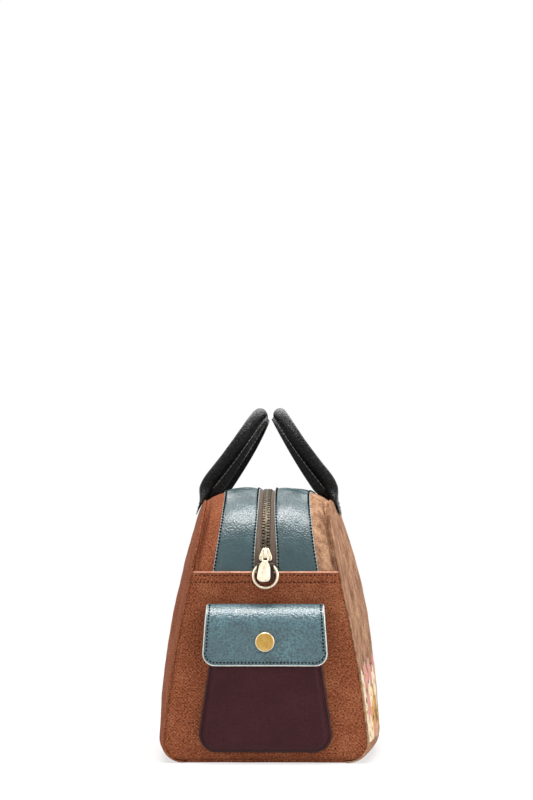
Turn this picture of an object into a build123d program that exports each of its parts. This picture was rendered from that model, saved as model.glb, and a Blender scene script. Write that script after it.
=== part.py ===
from build123d import *
import os
from math import asin, atan2, cos, degrees, hypot, pi, radians, sin

# Zip-top tote bag, in millimetres.
# X runs from the back panel to the front panel, Y along the bag from the pocket end to the far
# end, and Z up from the floor.

# Body: two bowed face panels, two end gussets and a zip gusset arched over the top
BAG_LENGTH = 300.0
BAG_HEIGHT = 231.4
CORNER_RADIUS = 72.4
CROWN_DROP = 38.8
WAIST_HEIGHT = 105.0
END_BASE_HALF = 86.8
END_WAIST_HALF = 71.4
END_TOP_HALF = 36.0
BASE_BOW = 9.7
WAIST_BOW = 18.0
TOP_BOW = 14.0
BASE_ROLL_RADIUS = 17.0
BASE_SEAM_MARGIN = 2.8
PANEL_THICKNESS = 2.4
HEM_LAP = 12.0
FACING_THICKNESS = 1.4
FACING_WIDTH_SHARE = 0.71
BAND_STEP = 0.4
BOARD_THICKNESS = 2.5
BOARD_MARGIN = 4.0
TRIM = 10.0

# Zip
TAPE_THICKNESS = 0.8
TAPE_LAP = 7.5
CHANNEL_HALF = 8.5
CHAIN_HALF = 3.0
TOOTH_PITCH = 2.9
TOOTH_HEIGHT = 3.4
TOOTH_HEAD = 0.9
TOOTH_HEAD_WIDTH = 1.15
TOOTH_JAW_WIDTH = 1.9
STOP_LENGTH = 3.0
STOP_START = 1.0

# Zip slider and its puller
SLIDER_RISE = 13.5
SLIDER_LENGTH = 11.4
SLIDER_HALF_LOW = 5.5
SLIDER_HALF_HIGH = 4.2
SLIDER_PLATE = 1.5
SLIDER_CLEARANCE = 0.4
FLANGE_DEPTH = 1.4
CROWN_HALF = 1.5
CROWN_THICKNESS = 1.4
CROWN_MARGIN = 0.7
PIVOT_LIFT = 7.0
PIVOT_RADIUS = 1.0
PIVOT_CLEARANCE = 0.25
PULLER_LENGTH = 22.0
PULLER_THICKNESS = 1.4
PULLER_EYE_HALF = 3.7
PULLER_WINDOW_HALF = 2.0
PULLER_WINDOW = 5.5
PULLER_SHOULDER_HALF = 4.5
PULLER_FOOT_HALF = 5.5
PULLER_CORNER = 2.5
PULLER_TILT = 14.5

# Strap rings and the leather tabs that hold them
RING_HALF = 11.4
RING_SECTION = 2.6
RING_ARM = 8.3
RING_BAR_RISE = 4.7
RING_BAR_OUT = 2.2
RING_EDGE = 0.6
TAB_LAYER = 1.0
TAB_HALF = 7.0
BORE_CLEARANCE = 0.1

# Pocket on the near end
POCKET_BOTTOM = 10.0
POCKET_MOUTH_DROP = 15.0
POCKET_MOUTH_HALF = 40.0
POCKET_FOOT_HALF = 55.8
POCKET_CORNER = 14.0
POCKET_DEPTH = 11.0
POCKET_WALL = 1.6
POCKET_EDGE = 2.5
PIPING_RADIUS = 1.2

# Pocket flap and its snap
FLAP_HEM_DROP = 28.0
FLAP_HINGE_GAP = 0.3
FLAP_DROP = 49.0
FLAP_TOP_HALF = 47.0
FLAP_FOOT_HALF = 51.3
FLAP_CORNER = 10.0
FLAP_THICKNESS = 2.2
FLAP_STANDOFF = 3.2
FLAP_START_FALL = 20.0
SNAP_RISE = 19.0
CAP_RADIUS = 7.7
CAP_THICKNESS = 2.0
CAP_EDGE = 0.9
SOCKET_RADIUS = 5.0
SOCKET_BORE = 2.9
SOCKET_THICKNESS = 1.6
STUD_BASE_RADIUS = 4.6
STUD_BASE = 0.8
STUD_RADIUS = 2.1
STUD_HEIGHT = 2.4

# Rolled handles and the tabs that sew them to the face panels
ROLL_RADIUS = 6.0
HANDLE_LEG = 56.0
HANDLE_SHOULDER = 48.0
HANDLE_BEND = 38.0
HANDLE_ROOT_DROP = 1.4
HANDLE_RISE = 66.0
HANDLE_TOP_OFFSET = 8.7
FIN_THICKNESS = 2.6
FIN_START = 15.0
FIN_FOOT = 9.0
FIN_TOP = 2.6
HANDLE_TAB_THICKNESS = 3.0
HANDLE_TAB_WIDTH = 28.0
HANDLE_TAB_LENGTH = 17.0
HANDLE_TAB_CORNER = 7.0
HANDLE_TAB_GAP = 0.3

# Places that follow from the sizes above
END_Y = BAG_LENGTH / 2
MID_BASE_HALF = END_BASE_HALF + BASE_BOW
MID_WAIST_HALF = END_WAIST_HALF + WAIST_BOW
MID_TOP_HALF = END_TOP_HALF + TOP_BOW
BASE_SEAM_HALF = END_BASE_HALF - BASE_ROLL_RADIUS - BASE_SEAM_MARGIN
HEM_HEIGHT = BAG_HEIGHT - CORNER_RADIUS
CORNER_Y = END_Y - CORNER_RADIUS
ZIP_DEPTH = PANEL_THICKNESS
ZIP_RADIUS = CORNER_RADIUS - ZIP_DEPTH
TAPE_DEPTH = ZIP_DEPTH + FACING_THICKNESS
CHAIN_RADIUS = CORNER_RADIUS - TAPE_DEPTH - TAPE_THICKNESS / 2
SLIDER_ANGLE = degrees(asin(SLIDER_RISE / ZIP_RADIUS))
RING_BAR_HEIGHT = HEM_HEIGHT + RING_BAR_RISE
FLAP_HINGE_HEIGHT = HEM_HEIGHT - FLAP_HEM_DROP
FLAP_BOTTOM = FLAP_HINGE_HEIGHT - FLAP_DROP
SNAP_HEIGHT = FLAP_BOTTOM + SNAP_RISE
POCKET_MOUTH = FLAP_HINGE_HEIGHT - POCKET_MOUTH_DROP
HANDLE_ROOT_HEIGHT = BAG_HEIGHT - HANDLE_ROOT_DROP
HANDLE_TOP_HEIGHT = HANDLE_ROOT_HEIGHT + HANDLE_RISE
FLAP_HINGE_OUT = FLAP_THICKNESS / 2 + FLAP_HINGE_GAP
FLAP_FRONT_OUT = POCKET_DEPTH + FLAP_STANDOFF + FLAP_THICKNESS / 2
HANDLE_TAB_TOP = HANDLE_ROOT_HEIGHT - ROLL_RADIUS - HANDLE_TAB_GAP
HANDLE_TAB_BOTTOM = HANDLE_TAB_TOP - HANDLE_TAB_LENGTH

# The near end seen from outside, and the same end seen in section with outward to the right
END_PLANE = Plane.XZ.offset(END_Y)
END_SECTION = Plane(origin=(0, -END_Y, 0), x_dir=(0, -1, 0), z_dir=(-1, 0, 0))


def block(x_from, x_to, y_from, y_to, z_from, z_to):
    """Box between two corners."""
    middle = Pos((x_from + x_to) / 2, (y_from + y_to) / 2, (z_from + z_to) / 2)
    return middle * Box(x_to - x_from, y_to - y_from, z_to - z_from)


def end_face(outline, out_from, out_to):
    """Outline drawn on the near end, as a slab between two distances outward from it."""
    return extrude(END_PLANE.offset(out_from) * outline, amount=out_to - out_from)


def end_profile(outline, half):
    """Profile drawn in the section of the near end, as a bar reaching half either side of the middle."""
    return extrude(END_SECTION * outline, amount=half, both=True)


def flared(foot_half, top_half, foot, top, corner):
    """Outline that narrows upwards, with its two lower corners rounded."""
    corners = [(-foot_half, foot), (foot_half, foot), (top_half, top), (-top_half, top)]
    face = make_face(Polyline(corners, close=True))
    return fillet(face.vertices().sort_by(Axis.Y)[:2], corner)


def cross_section(halves, share, inset, station):
    """Section across the bag at one station, with its sides moved in by inset."""
    base, waist, top = (half * share - inset for half in halves)
    ridge = BAG_HEIGHT + TRIM + inset
    right = ThreePointArc((base, inset), (waist, WAIST_HEIGHT), (top, ridge))
    left = ThreePointArc((-top, ridge), (-waist, WAIST_HEIGHT), (-base, inset))
    outline = make_face([Line(left @ 1, right @ 0), right, Line(right @ 1, left @ 0), left])
    low_corners = outline.vertices().sort_by(Axis.Y)[:2]
    return Plane.XZ.offset(-station) * fillet(low_corners, BASE_ROLL_RADIUS - inset)


def wedge(inset, share=1):
    """Space between the two face panels, bowed out at mid-length."""
    end_halves = (END_BASE_HALF, END_WAIST_HALF, END_TOP_HALF)
    mid_halves = (MID_BASE_HALF, MID_WAIST_HALF, MID_TOP_HALF)
    reach = END_Y + TRIM
    stations = ((end_halves, -reach), (mid_halves, 0), (end_halves, reach))
    return loft([cross_section(halves, share, inset, station) for halves, station in stations])


def barrel(inset):
    """Space under the arched gusset, crowned across the bag."""
    reach = MID_BASE_HALF + TRIM + inset
    sections = []
    for station in (-reach, 0, reach):
        top = BAG_HEIGHT - CROWN_DROP * (station / MID_BASE_HALF) ** 2 - inset
        bottom = -TRIM - inset
        outline = Pos(0, (top + bottom) / 2) * Rectangle(2 * (END_Y - inset), top - bottom)
        top_corners = outline.vertices().sort_by(Axis.Y)[-2:]
        sections.append(Plane.YZ.offset(station) * fillet(top_corners, CORNER_RADIUS - inset))
    return loft(sections)


def front_half(solid):
    """The part of a solid on the front side of the bag."""
    return solid & block(0, 2 * MID_BASE_HALF, -BAG_LENGTH, BAG_LENGTH, -BAG_HEIGHT, 2 * BAG_HEIGHT)


def to_back(solid):
    """The same piece on the back side of the bag."""
    return mirror(solid, about=Plane.YZ)


def to_far(solid):
    """The same piece at the far end of the bag."""
    return mirror(solid, about=Plane.XZ)


def on_arch(distance, radius):
    """Place along the zip from the near hem: X across, Y along the zip, Z outward."""
    quarter = CHAIN_RADIUS * pi / 2
    top_run = 2 * CORNER_Y
    if distance < quarter:
        centre, angle = -CORNER_Y, degrees(distance / CHAIN_RADIUS)
    elif distance < quarter + top_run:
        centre, angle = distance - quarter - CORNER_Y, degrees(pi / 2)
    else:
        centre, angle = CORNER_Y, degrees((distance - top_run) / CHAIN_RADIUS)
    return Pos(0, centre, HEM_HEIGHT) * Rot(-angle, 0, 0) * Location(Plane.XZ.offset(radius))


def shell_panels():
    """Face panels, base panel, its board, and the lower end gussets."""
    inner = wedge(PANEL_THICKNESS)
    dome = barrel(0)
    floor = block(-BASE_SEAM_HALF, BASE_SEAM_HALF, -END_Y, END_Y, 0, PANEL_THICKNESS)
    front = (front_half(wedge(0)) & dome) - inner - floor
    low = block(-MID_BASE_HALF, MID_BASE_HALF, -END_Y, 0, 0, HEM_HEIGHT)
    gusset = ((low & dome) - barrel(PANEL_THICKNESS)) & inner
    board_half = BASE_SEAM_HALF - BOARD_MARGIN
    board_end = END_Y - PANEL_THICKNESS - BOARD_MARGIN
    board_top = PANEL_THICKNESS + BOARD_THICKNESS
    board = block(-board_half, board_half, -board_end, board_end, PANEL_THICKNESS, board_top)
    return {
        "front_panel": front,
        "back_panel": to_back(front),
        "base_panel": floor,
        "base_board": board,
        "near_gusset": gusset,
        "far_gusset": to_far(gusset),
    }


def zip_gusset():
    """Facings beside the zip, bands beside them, and the two tapes, all lapped behind the hems."""
    inner = wedge(PANEL_THICKNESS)
    foot = HEM_HEIGHT - HEM_LAP
    front_space = block(0, MID_BASE_HALF, -END_Y, END_Y, foot, BAG_HEIGHT)
    facing_side = wedge(PANEL_THICKNESS, FACING_WIDTH_SHARE)
    channel = block(0, CHANNEL_HALF, -END_Y, END_Y, foot, BAG_HEIGHT)
    facing_outer = barrel(ZIP_DEPTH)
    facing_inner = barrel(TAPE_DEPTH)
    facing = ((front_space - channel) & facing_side & facing_outer) - facing_inner
    band_outer = barrel(ZIP_DEPTH + BAND_STEP)
    band_inner = barrel(ZIP_DEPTH + BAND_STEP + FACING_THICKNESS)
    band = ((front_space & inner & band_outer) - facing_side) - band_inner
    strip = block(CHAIN_HALF, CHANNEL_HALF + TAPE_LAP, -END_Y, END_Y, foot, BAG_HEIGHT)
    tape = (strip & facing_inner) - barrel(TAPE_DEPTH + TAPE_THICKNESS)
    return {
        "front_facing": facing,
        "back_facing": to_back(facing),
        "front_band": band,
        "back_band": to_back(band),
        "front_zip_tape": tape,
        "back_zip_tape": to_back(tape),
    }


def zip_chain():
    """Two rows of meshed teeth on the tape edges, and the stops at their ends."""
    jaw = TOOTH_JAW_WIDTH / 2
    head = TOOTH_HEAD_WIDTH / 2
    corners = [(CHAIN_HALF, -jaw), (CHAIN_HALF, jaw), (-TOOTH_HEAD, head), (-TOOTH_HEAD, -head)]
    tooth = extrude(make_face(Polyline(corners, close=True)), amount=TOOTH_HEIGHT / 2, both=True)
    length = CHAIN_RADIUS * pi + 2 * CORNER_Y
    first = STOP_START + STOP_LENGTH + TOOTH_PITCH / 2
    last = length - first
    count = int((last - first) / TOOTH_PITCH)
    rows = {"front_zip_teeth": (0, 0), "back_zip_teeth": (TOOTH_PITCH / 2, degrees(pi))}
    nodes = {}
    for name, (shift, turn) in rows.items():
        places = [first + shift + TOOTH_PITCH * number for number in range(count)]
        teeth = [on_arch(place, CHAIN_RADIUS) * Rot(0, 0, turn) * tooth for place in places]
        nodes[name] = Compound(children=teeth)
    stop = Box(2 * CHAIN_HALF, STOP_LENGTH, TOOTH_HEIGHT)
    near_place = STOP_START + STOP_LENGTH / 2
    stops = [on_arch(place, CHAIN_RADIUS) * stop for place in (near_place, length - near_place)]
    nodes["zip_stops"] = Compound(children=stops)
    return nodes


def slider_place():
    """Resting place of the slider: X across, Y along the zip, Z outward from the facings."""
    return Pos(0, -CORNER_Y, HEM_HEIGHT) * Rot(-SLIDER_ANGLE, 0, 0) * Location(Plane.XZ.offset(ZIP_RADIUS))


def puller_pivot():
    """Distance outward and height of the puller's crossbar on the resting slider."""
    along = -SLIDER_LENGTH / 2 + CROWN_MARGIN + CROWN_THICKNESS + PIVOT_CLEARANCE + PIVOT_RADIUS
    point = (slider_place() * Pos(0, along, PIVOT_LIFT)).position
    return -point.Y - END_Y, point.Z, along


def zip_slider():
    """Slider body with side flanges and the arched crown that holds the puller."""
    half_length = SLIDER_LENGTH / 2
    top = SLIDER_CLEARANCE + SLIDER_PLATE
    corners = [
        (-SLIDER_HALF_LOW, -half_length),
        (SLIDER_HALF_LOW, -half_length),
        (SLIDER_HALF_LOW, 0),
        (SLIDER_HALF_HIGH, half_length),
        (-SLIDER_HALF_HIGH, half_length),
        (-SLIDER_HALF_LOW, 0),
    ]
    outline = make_face(Polyline(corners, close=True))
    body = extrude(Pos(0, 0, SLIDER_CLEARANCE - FLANGE_DEPTH) * outline, amount=FLANGE_DEPTH + SLIDER_PLATE)
    bore_half = CHAIN_HALF + SLIDER_CLEARANCE
    body = body - block(
        -bore_half, bore_half, -SLIDER_LENGTH, SLIDER_LENGTH, SLIDER_CLEARANCE - BAG_HEIGHT, SLIDER_CLEARANCE
    )
    crown_half = half_length - CROWN_MARGIN
    ceiling = PIVOT_LIFT + PIVOT_RADIUS + PIVOT_CLEARANCE
    arch = block(-CROWN_HALF, CROWN_HALF, -crown_half, crown_half, top, ceiling + CROWN_THICKNESS)
    arch = fillet(arch.edges().filter_by(Axis.X).sort_by(Axis.Z)[-2:], 2 * CROWN_THICKNESS)
    gap_half = crown_half - CROWN_THICKNESS
    gap = block(-SLIDER_LENGTH, SLIDER_LENGTH, -gap_half, gap_half, top, ceiling)
    gap = fillet(gap.edges().filter_by(Axis.X).sort_by(Axis.Z)[-2:], CROWN_THICKNESS)
    return {"zip_slider": slider_place() * (body + (arch - gap))}


def zip_puller():
    """Flat tag on a crossbar through the slider's crown, resting on the tab of the ring below."""
    out, height, _ = puller_pivot()
    neck = -PULLER_WINDOW - PIVOT_RADIUS
    eye = make_face(
        Polyline(
            [
                (-PULLER_EYE_HALF, 0),
                (PULLER_EYE_HALF, 0),
                (PULLER_EYE_HALF, neck),
                (-PULLER_EYE_HALF, neck),
            ],
            close=True,
        )
    )
    eye = eye - Pos(0, -PULLER_WINDOW / 2) * Rectangle(2 * PULLER_WINDOW_HALF, PULLER_WINDOW)
    tag = flared(PULLER_FOOT_HALF, PULLER_SHOULDER_HALF, -PULLER_LENGTH, neck, PULLER_CORNER)
    plate = extrude(Plane.XZ * (eye + tag), amount=PULLER_THICKNESS / 2, both=True)
    bar = Rot(0, degrees(pi / 2), 0) * Cylinder(PIVOT_RADIUS, 2 * PULLER_EYE_HALF)
    place = Pos(0, -END_Y - out, height) * Rot(-PULLER_TILT, 0, 0)
    return {"zip_puller": place * (plate + bar)}


def strap_rings():
    """Ring hanging from a bar in a folded leather tab, at both ends of the bag."""
    arc_height = RING_BAR_HEIGHT - RING_ARM
    top = RING_BAR_HEIGHT + RING_SECTION / 2
    bar_radius = RING_SECTION / 2
    inner_half = RING_HALF - RING_SECTION

    def hoop(half):
        arms = Pos(0, (arc_height + top) / 2) * Rectangle(2 * half, top - arc_height)
        return arms + Pos(0, arc_height) * Circle(half)

    outline = hoop(RING_HALF) - hoop(inner_half) - Pos(0, top) * Rectangle(2 * inner_half, 2 * (top - arc_height))
    ring = end_face(outline, RING_BAR_OUT - bar_radius, RING_BAR_OUT + bar_radius)
    ring = chamfer(ring.faces().sort_by(Axis.Y)[0].edges(), RING_EDGE)
    ring = chamfer(ring.faces().sort_by(Axis.Y)[-1].edges(), RING_EDGE)
    bar = end_profile(Pos(RING_BAR_OUT, RING_BAR_HEIGHT) * Circle(bar_radius), inner_half + bar_radius)
    bore = bar_radius + BORE_CLEARANCE
    loop = Pos(RING_BAR_OUT, RING_BAR_HEIGHT) * Circle(bore + TAB_LAYER)
    tails = Pos(TAB_LAYER, RING_BAR_HEIGHT - RING_ARM / 2 - TAB_HALF / 2) * Rectangle(
        2 * TAB_LAYER, RING_ARM + TAB_HALF
    )
    fold = end_profile((loop + tails) - Pos(RING_BAR_OUT, RING_BAR_HEIGHT) * Circle(bore), TAB_HALF)
    front_view = Pos(0, arc_height + TRIM) * Rectangle(2 * TAB_HALF, 2 * TRIM)
    front_view = front_view + Pos(0, arc_height) * Circle(TAB_HALF)
    fold = fold & end_face(front_view, -TRIM, TRIM)
    return {
        "near_ring": ring + bar,
        "far_ring": to_far(ring + bar),
        "near_ring_tab": fold,
        "far_ring_tab": to_far(fold),
    }


def pocket():
    """Pouch on the near end with an open top, the piping round its seam and the stud of its snap."""
    flare = (POCKET_FOOT_HALF - POCKET_MOUTH_HALF) / (POCKET_MOUTH - POCKET_BOTTOM)
    raised_half = POCKET_MOUTH_HALF - flare * TRIM
    outline = flared(POCKET_FOOT_HALF, raised_half, POCKET_BOTTOM, POCKET_MOUTH + TRIM, POCKET_CORNER)
    outer = end_face(outline, 0, POCKET_DEPTH)
    outer = fillet(outer.faces().sort_by(Axis.Y)[0].edges(), POCKET_EDGE)
    inner = end_face(offset(outline, -POCKET_WALL), 0, POCKET_DEPTH - POCKET_WALL)
    reach = POCKET_FOOT_HALF + TRIM
    below_mouth = block(-reach, reach, -END_Y - POCKET_DEPTH - TRIM, -END_Y, 0, POCKET_MOUTH)
    pouch = (outer - inner) & below_mouth
    seam = Wire(offset(outline, PIPING_RADIUS).face().outer_wire().edges())
    bead_path = END_PLANE.offset(PIPING_RADIUS) * seam
    start = Plane(origin=bead_path @ 0, z_dir=bead_path % 0)
    bead = sweep(start * Circle(PIPING_RADIUS), path=bead_path) & below_mouth
    stud_base = end_face(Pos(0, SNAP_HEIGHT) * Circle(STUD_BASE_RADIUS), POCKET_DEPTH, POCKET_DEPTH + STUD_BASE)
    stud = end_face(Pos(0, SNAP_HEIGHT) * Circle(STUD_RADIUS), POCKET_DEPTH, POCKET_DEPTH + STUD_HEIGHT)
    return {"pocket_front": pouch, "pocket_piping": bead, "snap_stud": stud_base + stud}


def pocket_flap():
    """Flap that springs from a rounded edge on the gusset and bends down over the pocket."""
    fall = radians(FLAP_START_FALL)
    bend = (FLAP_FRONT_OUT - FLAP_HINGE_OUT) / (1 - sin(fall))
    centre_out = FLAP_FRONT_OUT - bend
    centre_height = FLAP_HINGE_HEIGHT - bend * cos(fall)
    half = FLAP_THICKNESS / 2
    sweep_angle = degrees(pi / 2) - FLAP_START_FALL
    outside = CenterArc((centre_out, centre_height), bend + half, 0, sweep_angle)
    inside = CenterArc((centre_out, centre_height), bend - half, 0, sweep_angle)
    nose = (FLAP_HINGE_OUT - half * cos(fall), FLAP_HINGE_HEIGHT + half * sin(fall))
    rounded = ThreePointArc(outside @ 1, nose, inside @ 1)
    foot = Polyline(
        inside @ 0,
        (FLAP_FRONT_OUT - half, FLAP_BOTTOM),
        (FLAP_FRONT_OUT + half, FLAP_BOTTOM),
        outside @ 0,
    )
    profile = make_face([outside, rounded, inside] + foot.edges())
    outline = flared(FLAP_FOOT_HALF, FLAP_TOP_HALF, FLAP_BOTTOM, FLAP_HINGE_HEIGHT + TRIM, FLAP_CORNER)
    flap = end_profile(profile, FLAP_FOOT_HALF + TRIM) & end_face(outline, -TRIM, FLAP_FRONT_OUT + TRIM)
    face_out = FLAP_FRONT_OUT + half
    cap = end_face(Pos(0, SNAP_HEIGHT) * Circle(CAP_RADIUS), face_out, face_out + CAP_THICKNESS)
    cap = fillet(cap.faces().sort_by(Axis.Y)[0].edges(), CAP_EDGE)
    ring = Pos(0, SNAP_HEIGHT) * (Circle(SOCKET_RADIUS) - Circle(SOCKET_BORE))
    back_out = FLAP_FRONT_OUT - half
    socket = end_face(ring, back_out - SOCKET_THICKNESS, back_out)
    return {"pocket_flap": flap, "snap_cap": cap, "snap_socket": socket}


def panel_reach(along, height):
    """How far the face panel's outside stands from the middle of the bag at one place."""
    level = Axis((0, along, height), (1, 0, 0))
    return max(point.X for point, _ in wedge(0).shell().find_intersection_points(level))


def handle_root_offset():
    """Distance of a handle's swing axis from the middle of the bag."""
    return panel_reach(HANDLE_LEG, HANDLE_TAB_TOP) + HANDLE_TAB_THICKNESS / 2


def handles():
    """Rolled handle with a stitched fin on its inner side, leaning in over the bag."""
    root = handle_root_offset()
    lean = atan2(root - HANDLE_TOP_OFFSET, HANDLE_TOP_HEIGHT - HANDLE_ROOT_HEIGHT)
    reach = hypot(root - HANDLE_TOP_OFFSET, HANDLE_TOP_HEIGHT - HANDLE_ROOT_HEIGHT)
    origin = (root, 0, HANDLE_ROOT_HEIGHT)
    face = Plane(origin=origin, x_dir=(0, 1, 0), z_dir=(cos(lean), 0, sin(lean)))
    side = Plane(origin=origin, x_dir=(-sin(lean), 0, cos(lean)), z_dir=(0, -1, 0))
    line = FilletPolyline(
        (-HANDLE_LEG, 0),
        (-HANDLE_SHOULDER, reach),
        (HANDLE_SHOULDER, reach),
        (HANDLE_LEG, 0),
        radius=HANDLE_BEND,
    )
    path = face * line
    roll = sweep(Plane(origin=path @ 0, z_dir=path % 0) * Circle(ROLL_RADIUS), path=path)
    fin = extrude(face * trace(line, FIN_THICKNESS), amount=-(ROLL_RADIUS + FIN_FOOT))
    corners = [
        (FIN_START, 0),
        (FIN_START, ROLL_RADIUS + FIN_FOOT),
        (reach + ROLL_RADIUS, ROLL_RADIUS + FIN_TOP),
        (reach + ROLL_RADIUS, 0),
    ]
    fin = fin & extrude(side * make_face(Polyline(corners, close=True)), amount=HANDLE_LEG + TRIM, both=True)
    ends = [Pos(root, along, HANDLE_ROOT_HEIGHT) * Sphere(ROLL_RADIUS) for along in (-HANDLE_LEG, HANDLE_LEG)]
    handle = roll + fin + ends
    return {"front_handle": handle, "back_handle": to_back(handle)}


def handle_tabs():
    """Leather tabs on the face panels under the ends of each handle."""
    outer = wedge(-HANDLE_TAB_THICKNESS)
    inner = wedge(0)
    height = HANDLE_TAB_TOP - HANDLE_TAB_BOTTOM
    outline = Pos(0, HANDLE_TAB_BOTTOM + height / 2) * Rectangle(HANDLE_TAB_WIDTH, height)
    outline = fillet(outline.vertices().sort_by(Axis.Y)[:2], HANDLE_TAB_CORNER)
    strip = extrude(Plane.YZ * outline, amount=2 * MID_BASE_HALF)
    near = ((Pos(0, -HANDLE_LEG, 0) * strip) & outer) - inner
    return {
        "front_near_tab": near,
        "back_near_tab": to_back(near),
        "front_far_tab": to_far(near),
        "back_far_tab": to_far(to_back(near)),
    }


os.makedirs("parts", exist_ok=True)
for group in (
    shell_panels,
    zip_gusset,
    zip_chain,
    zip_slider,
    zip_puller,
    strap_rings,
    pocket,
    pocket_flap,
    handles,
    handle_tabs,
):
    for node, solid in group().items():
        export_step(solid, os.path.join("parts", node + ".step"))
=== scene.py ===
"""Zip-top tote bag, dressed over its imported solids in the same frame."""

import logging
import math
from collections.abc import Callable, Sequence
from dataclasses import dataclass
from enum import Enum

import bpy
import numpy as np
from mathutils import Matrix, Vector

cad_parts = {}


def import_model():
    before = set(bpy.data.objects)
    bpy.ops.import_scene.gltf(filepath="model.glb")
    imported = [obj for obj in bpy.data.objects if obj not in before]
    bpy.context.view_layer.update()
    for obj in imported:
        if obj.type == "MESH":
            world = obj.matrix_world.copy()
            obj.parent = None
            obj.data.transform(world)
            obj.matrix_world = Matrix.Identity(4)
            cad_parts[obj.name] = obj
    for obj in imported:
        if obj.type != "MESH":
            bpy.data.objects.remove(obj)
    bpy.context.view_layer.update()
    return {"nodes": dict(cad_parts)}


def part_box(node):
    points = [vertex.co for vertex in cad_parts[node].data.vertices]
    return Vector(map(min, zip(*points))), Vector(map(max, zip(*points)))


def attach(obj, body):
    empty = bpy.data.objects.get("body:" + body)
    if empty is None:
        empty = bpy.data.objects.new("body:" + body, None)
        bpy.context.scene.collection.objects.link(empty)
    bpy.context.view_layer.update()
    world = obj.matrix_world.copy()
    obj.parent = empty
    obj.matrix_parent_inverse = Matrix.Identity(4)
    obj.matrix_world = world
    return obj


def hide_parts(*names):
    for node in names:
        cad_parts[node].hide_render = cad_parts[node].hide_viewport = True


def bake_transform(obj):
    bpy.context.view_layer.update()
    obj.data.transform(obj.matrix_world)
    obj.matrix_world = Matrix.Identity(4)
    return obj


log = logging.getLogger("tote_bag")

MM = 0.001
Array = np.ndarray
Place = tuple[float, float, float]


class Side(Enum):
    """Face of the bag that a piece belongs to, as the sign of its X."""

    FRONT = 1
    BACK = -1


class End(Enum):
    """End of the bag that a piece belongs to, as the sign of its Y."""

    NEAR = -1
    FAR = 1


# Small helpers for colours, shader nodes, unevenness and meshes


def linear(hex_colour: str) -> tuple[float, float, float, float]:
    """Turn an sRGB hex colour into linear light.

    Args:
        hex_colour: Colour such as "#8c4b32".

    Returns:
        Red, green, blue and an alpha of one.
    """
    parts = [int(hex_colour[place : place + 2], 16) / 255 for place in (1, 3, 5)]
    light = [part / 12.92 if part <= 0.04045 else ((part + 0.055) / 1.055) ** 2.4 for part in parts]
    return (light[0], light[1], light[2], 1.0)


def add_node(tree: bpy.types.NodeTree, kind: str, settings: dict | None = None, links: dict | None = None):
    """Add one shader node.

    Args:
        tree: Node tree that takes the node.
        kind: Blender's name for the node.
        settings: Values by attribute, input name or input place; "ramp" holds a colour ramp's stops.
        links: Output sockets by the input name or place that they feed.

    Returns:
        The new node.
    """
    made = tree.nodes.new(kind)
    for key, value in (settings or {}).items():
        if key == "ramp":
            stops = made.color_ramp.elements
            while len(stops) < len(value):
                stops.new(0.5)
            for stop, (place, colour) in zip(stops, value):
                stop.position = place
                stop.color = colour
        elif isinstance(key, str) and key not in made.inputs:
            setattr(made, key, value)
        else:
            made.inputs[key].default_value = value
    for key, source in (links or {}).items():
        tree.links.new(source, made.inputs[key])
    return made


def waver(first: Array, second: Array, size: float, seed: int) -> Array:
    """Smooth unevenness over two lengths, about -1 to 1.

    Args:
        first: Lengths one way in millimetres.
        second: Lengths the other way in millimetres.
        size: Typical wave in millimetres.
        seed: Number that fixes the pattern.

    Returns:
        Heights in the shape of the two lengths.
    """
    chance = np.random.default_rng(seed)
    total = 0.0 * (first + second)
    waves = 6
    for _ in range(waves):
        turn = chance.uniform(0, 2 * math.pi)
        wave = size * chance.uniform(0.6, 1.7)
        start = chance.uniform(0, 2 * math.pi)
        total = total + np.sin(
            2 * math.pi * (first * math.cos(turn) + second * math.sin(turn)) / wave + start
        )
    return total / (1.3 * math.sqrt(waves))


def ease(values: Array, low: float, high: float) -> Array:
    """Rise smoothly from zero at low to one at high."""
    share = np.clip((values - low) / (high - low), 0, 1)
    return share * share * (3 - 2 * share)


def unit(vectors: Array) -> Array:
    """Scale vectors to a length of one."""
    return vectors / np.maximum(np.linalg.norm(vectors, axis=-1, keepdims=True), 1e-9)


def steps(points: Array) -> Array:
    """Length run along a line of points, from zero at its start."""
    gaps = np.linalg.norm(np.diff(points, axis=0), axis=-1)
    return np.concatenate([[0.0], np.cumsum(gaps)])


def evenly(points: Array, gap: float) -> Array:
    """Place points evenly along a line.

    Args:
        points: Line to follow.
        gap: Distance wanted between points.

    Returns:
        Points on the line, its two ends kept.
    """
    run = steps(points)
    count = max(2, int(round(run[-1] / gap)) + 1)
    places = np.linspace(0, run[-1], count)
    return np.stack([np.interp(places, run, points[:, axis]) for axis in range(points.shape[1])], axis=1)


@dataclass
class Patch:
    """Grid of points of one cloth or skin.

    Attributes:
        points: Rows by columns of places in millimetres.
        lengths: Cloth lengths along and across in millimetres, one column more where the grid closes.
        closed: True where the last column meets the first.
        finish: Place of the patch's finish in the piece's list.
    """

    points: Array
    lengths: Array
    closed: bool = False
    finish: int = 0

    @classmethod
    def from_points(cls, points: Array, closed: bool = False, finish: int = 0) -> "Patch":
        """Make a patch whose cloth lengths come from its own spacing.

        Args:
            points: Rows by columns of places in millimetres.
            closed: True where the last column meets the first.
            finish: Place of the patch's finish in the piece's list.

        Returns:
            The patch.
        """
        ring = np.concatenate([points, points[:, :1]], axis=1) if closed else points
        down = np.linalg.norm(np.diff(points, axis=0), axis=-1).mean(axis=1)
        along = np.linalg.norm(np.diff(ring, axis=1), axis=-1).mean(axis=0)
        rows = np.concatenate([[0.0], np.cumsum(down)])
        columns = np.concatenate([[0.0], np.cumsum(along)])
        spread = np.meshgrid(rows, columns, indexing="ij")
        return cls(points, np.stack([spread[1], spread[0]], axis=-1), closed, finish)


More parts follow.
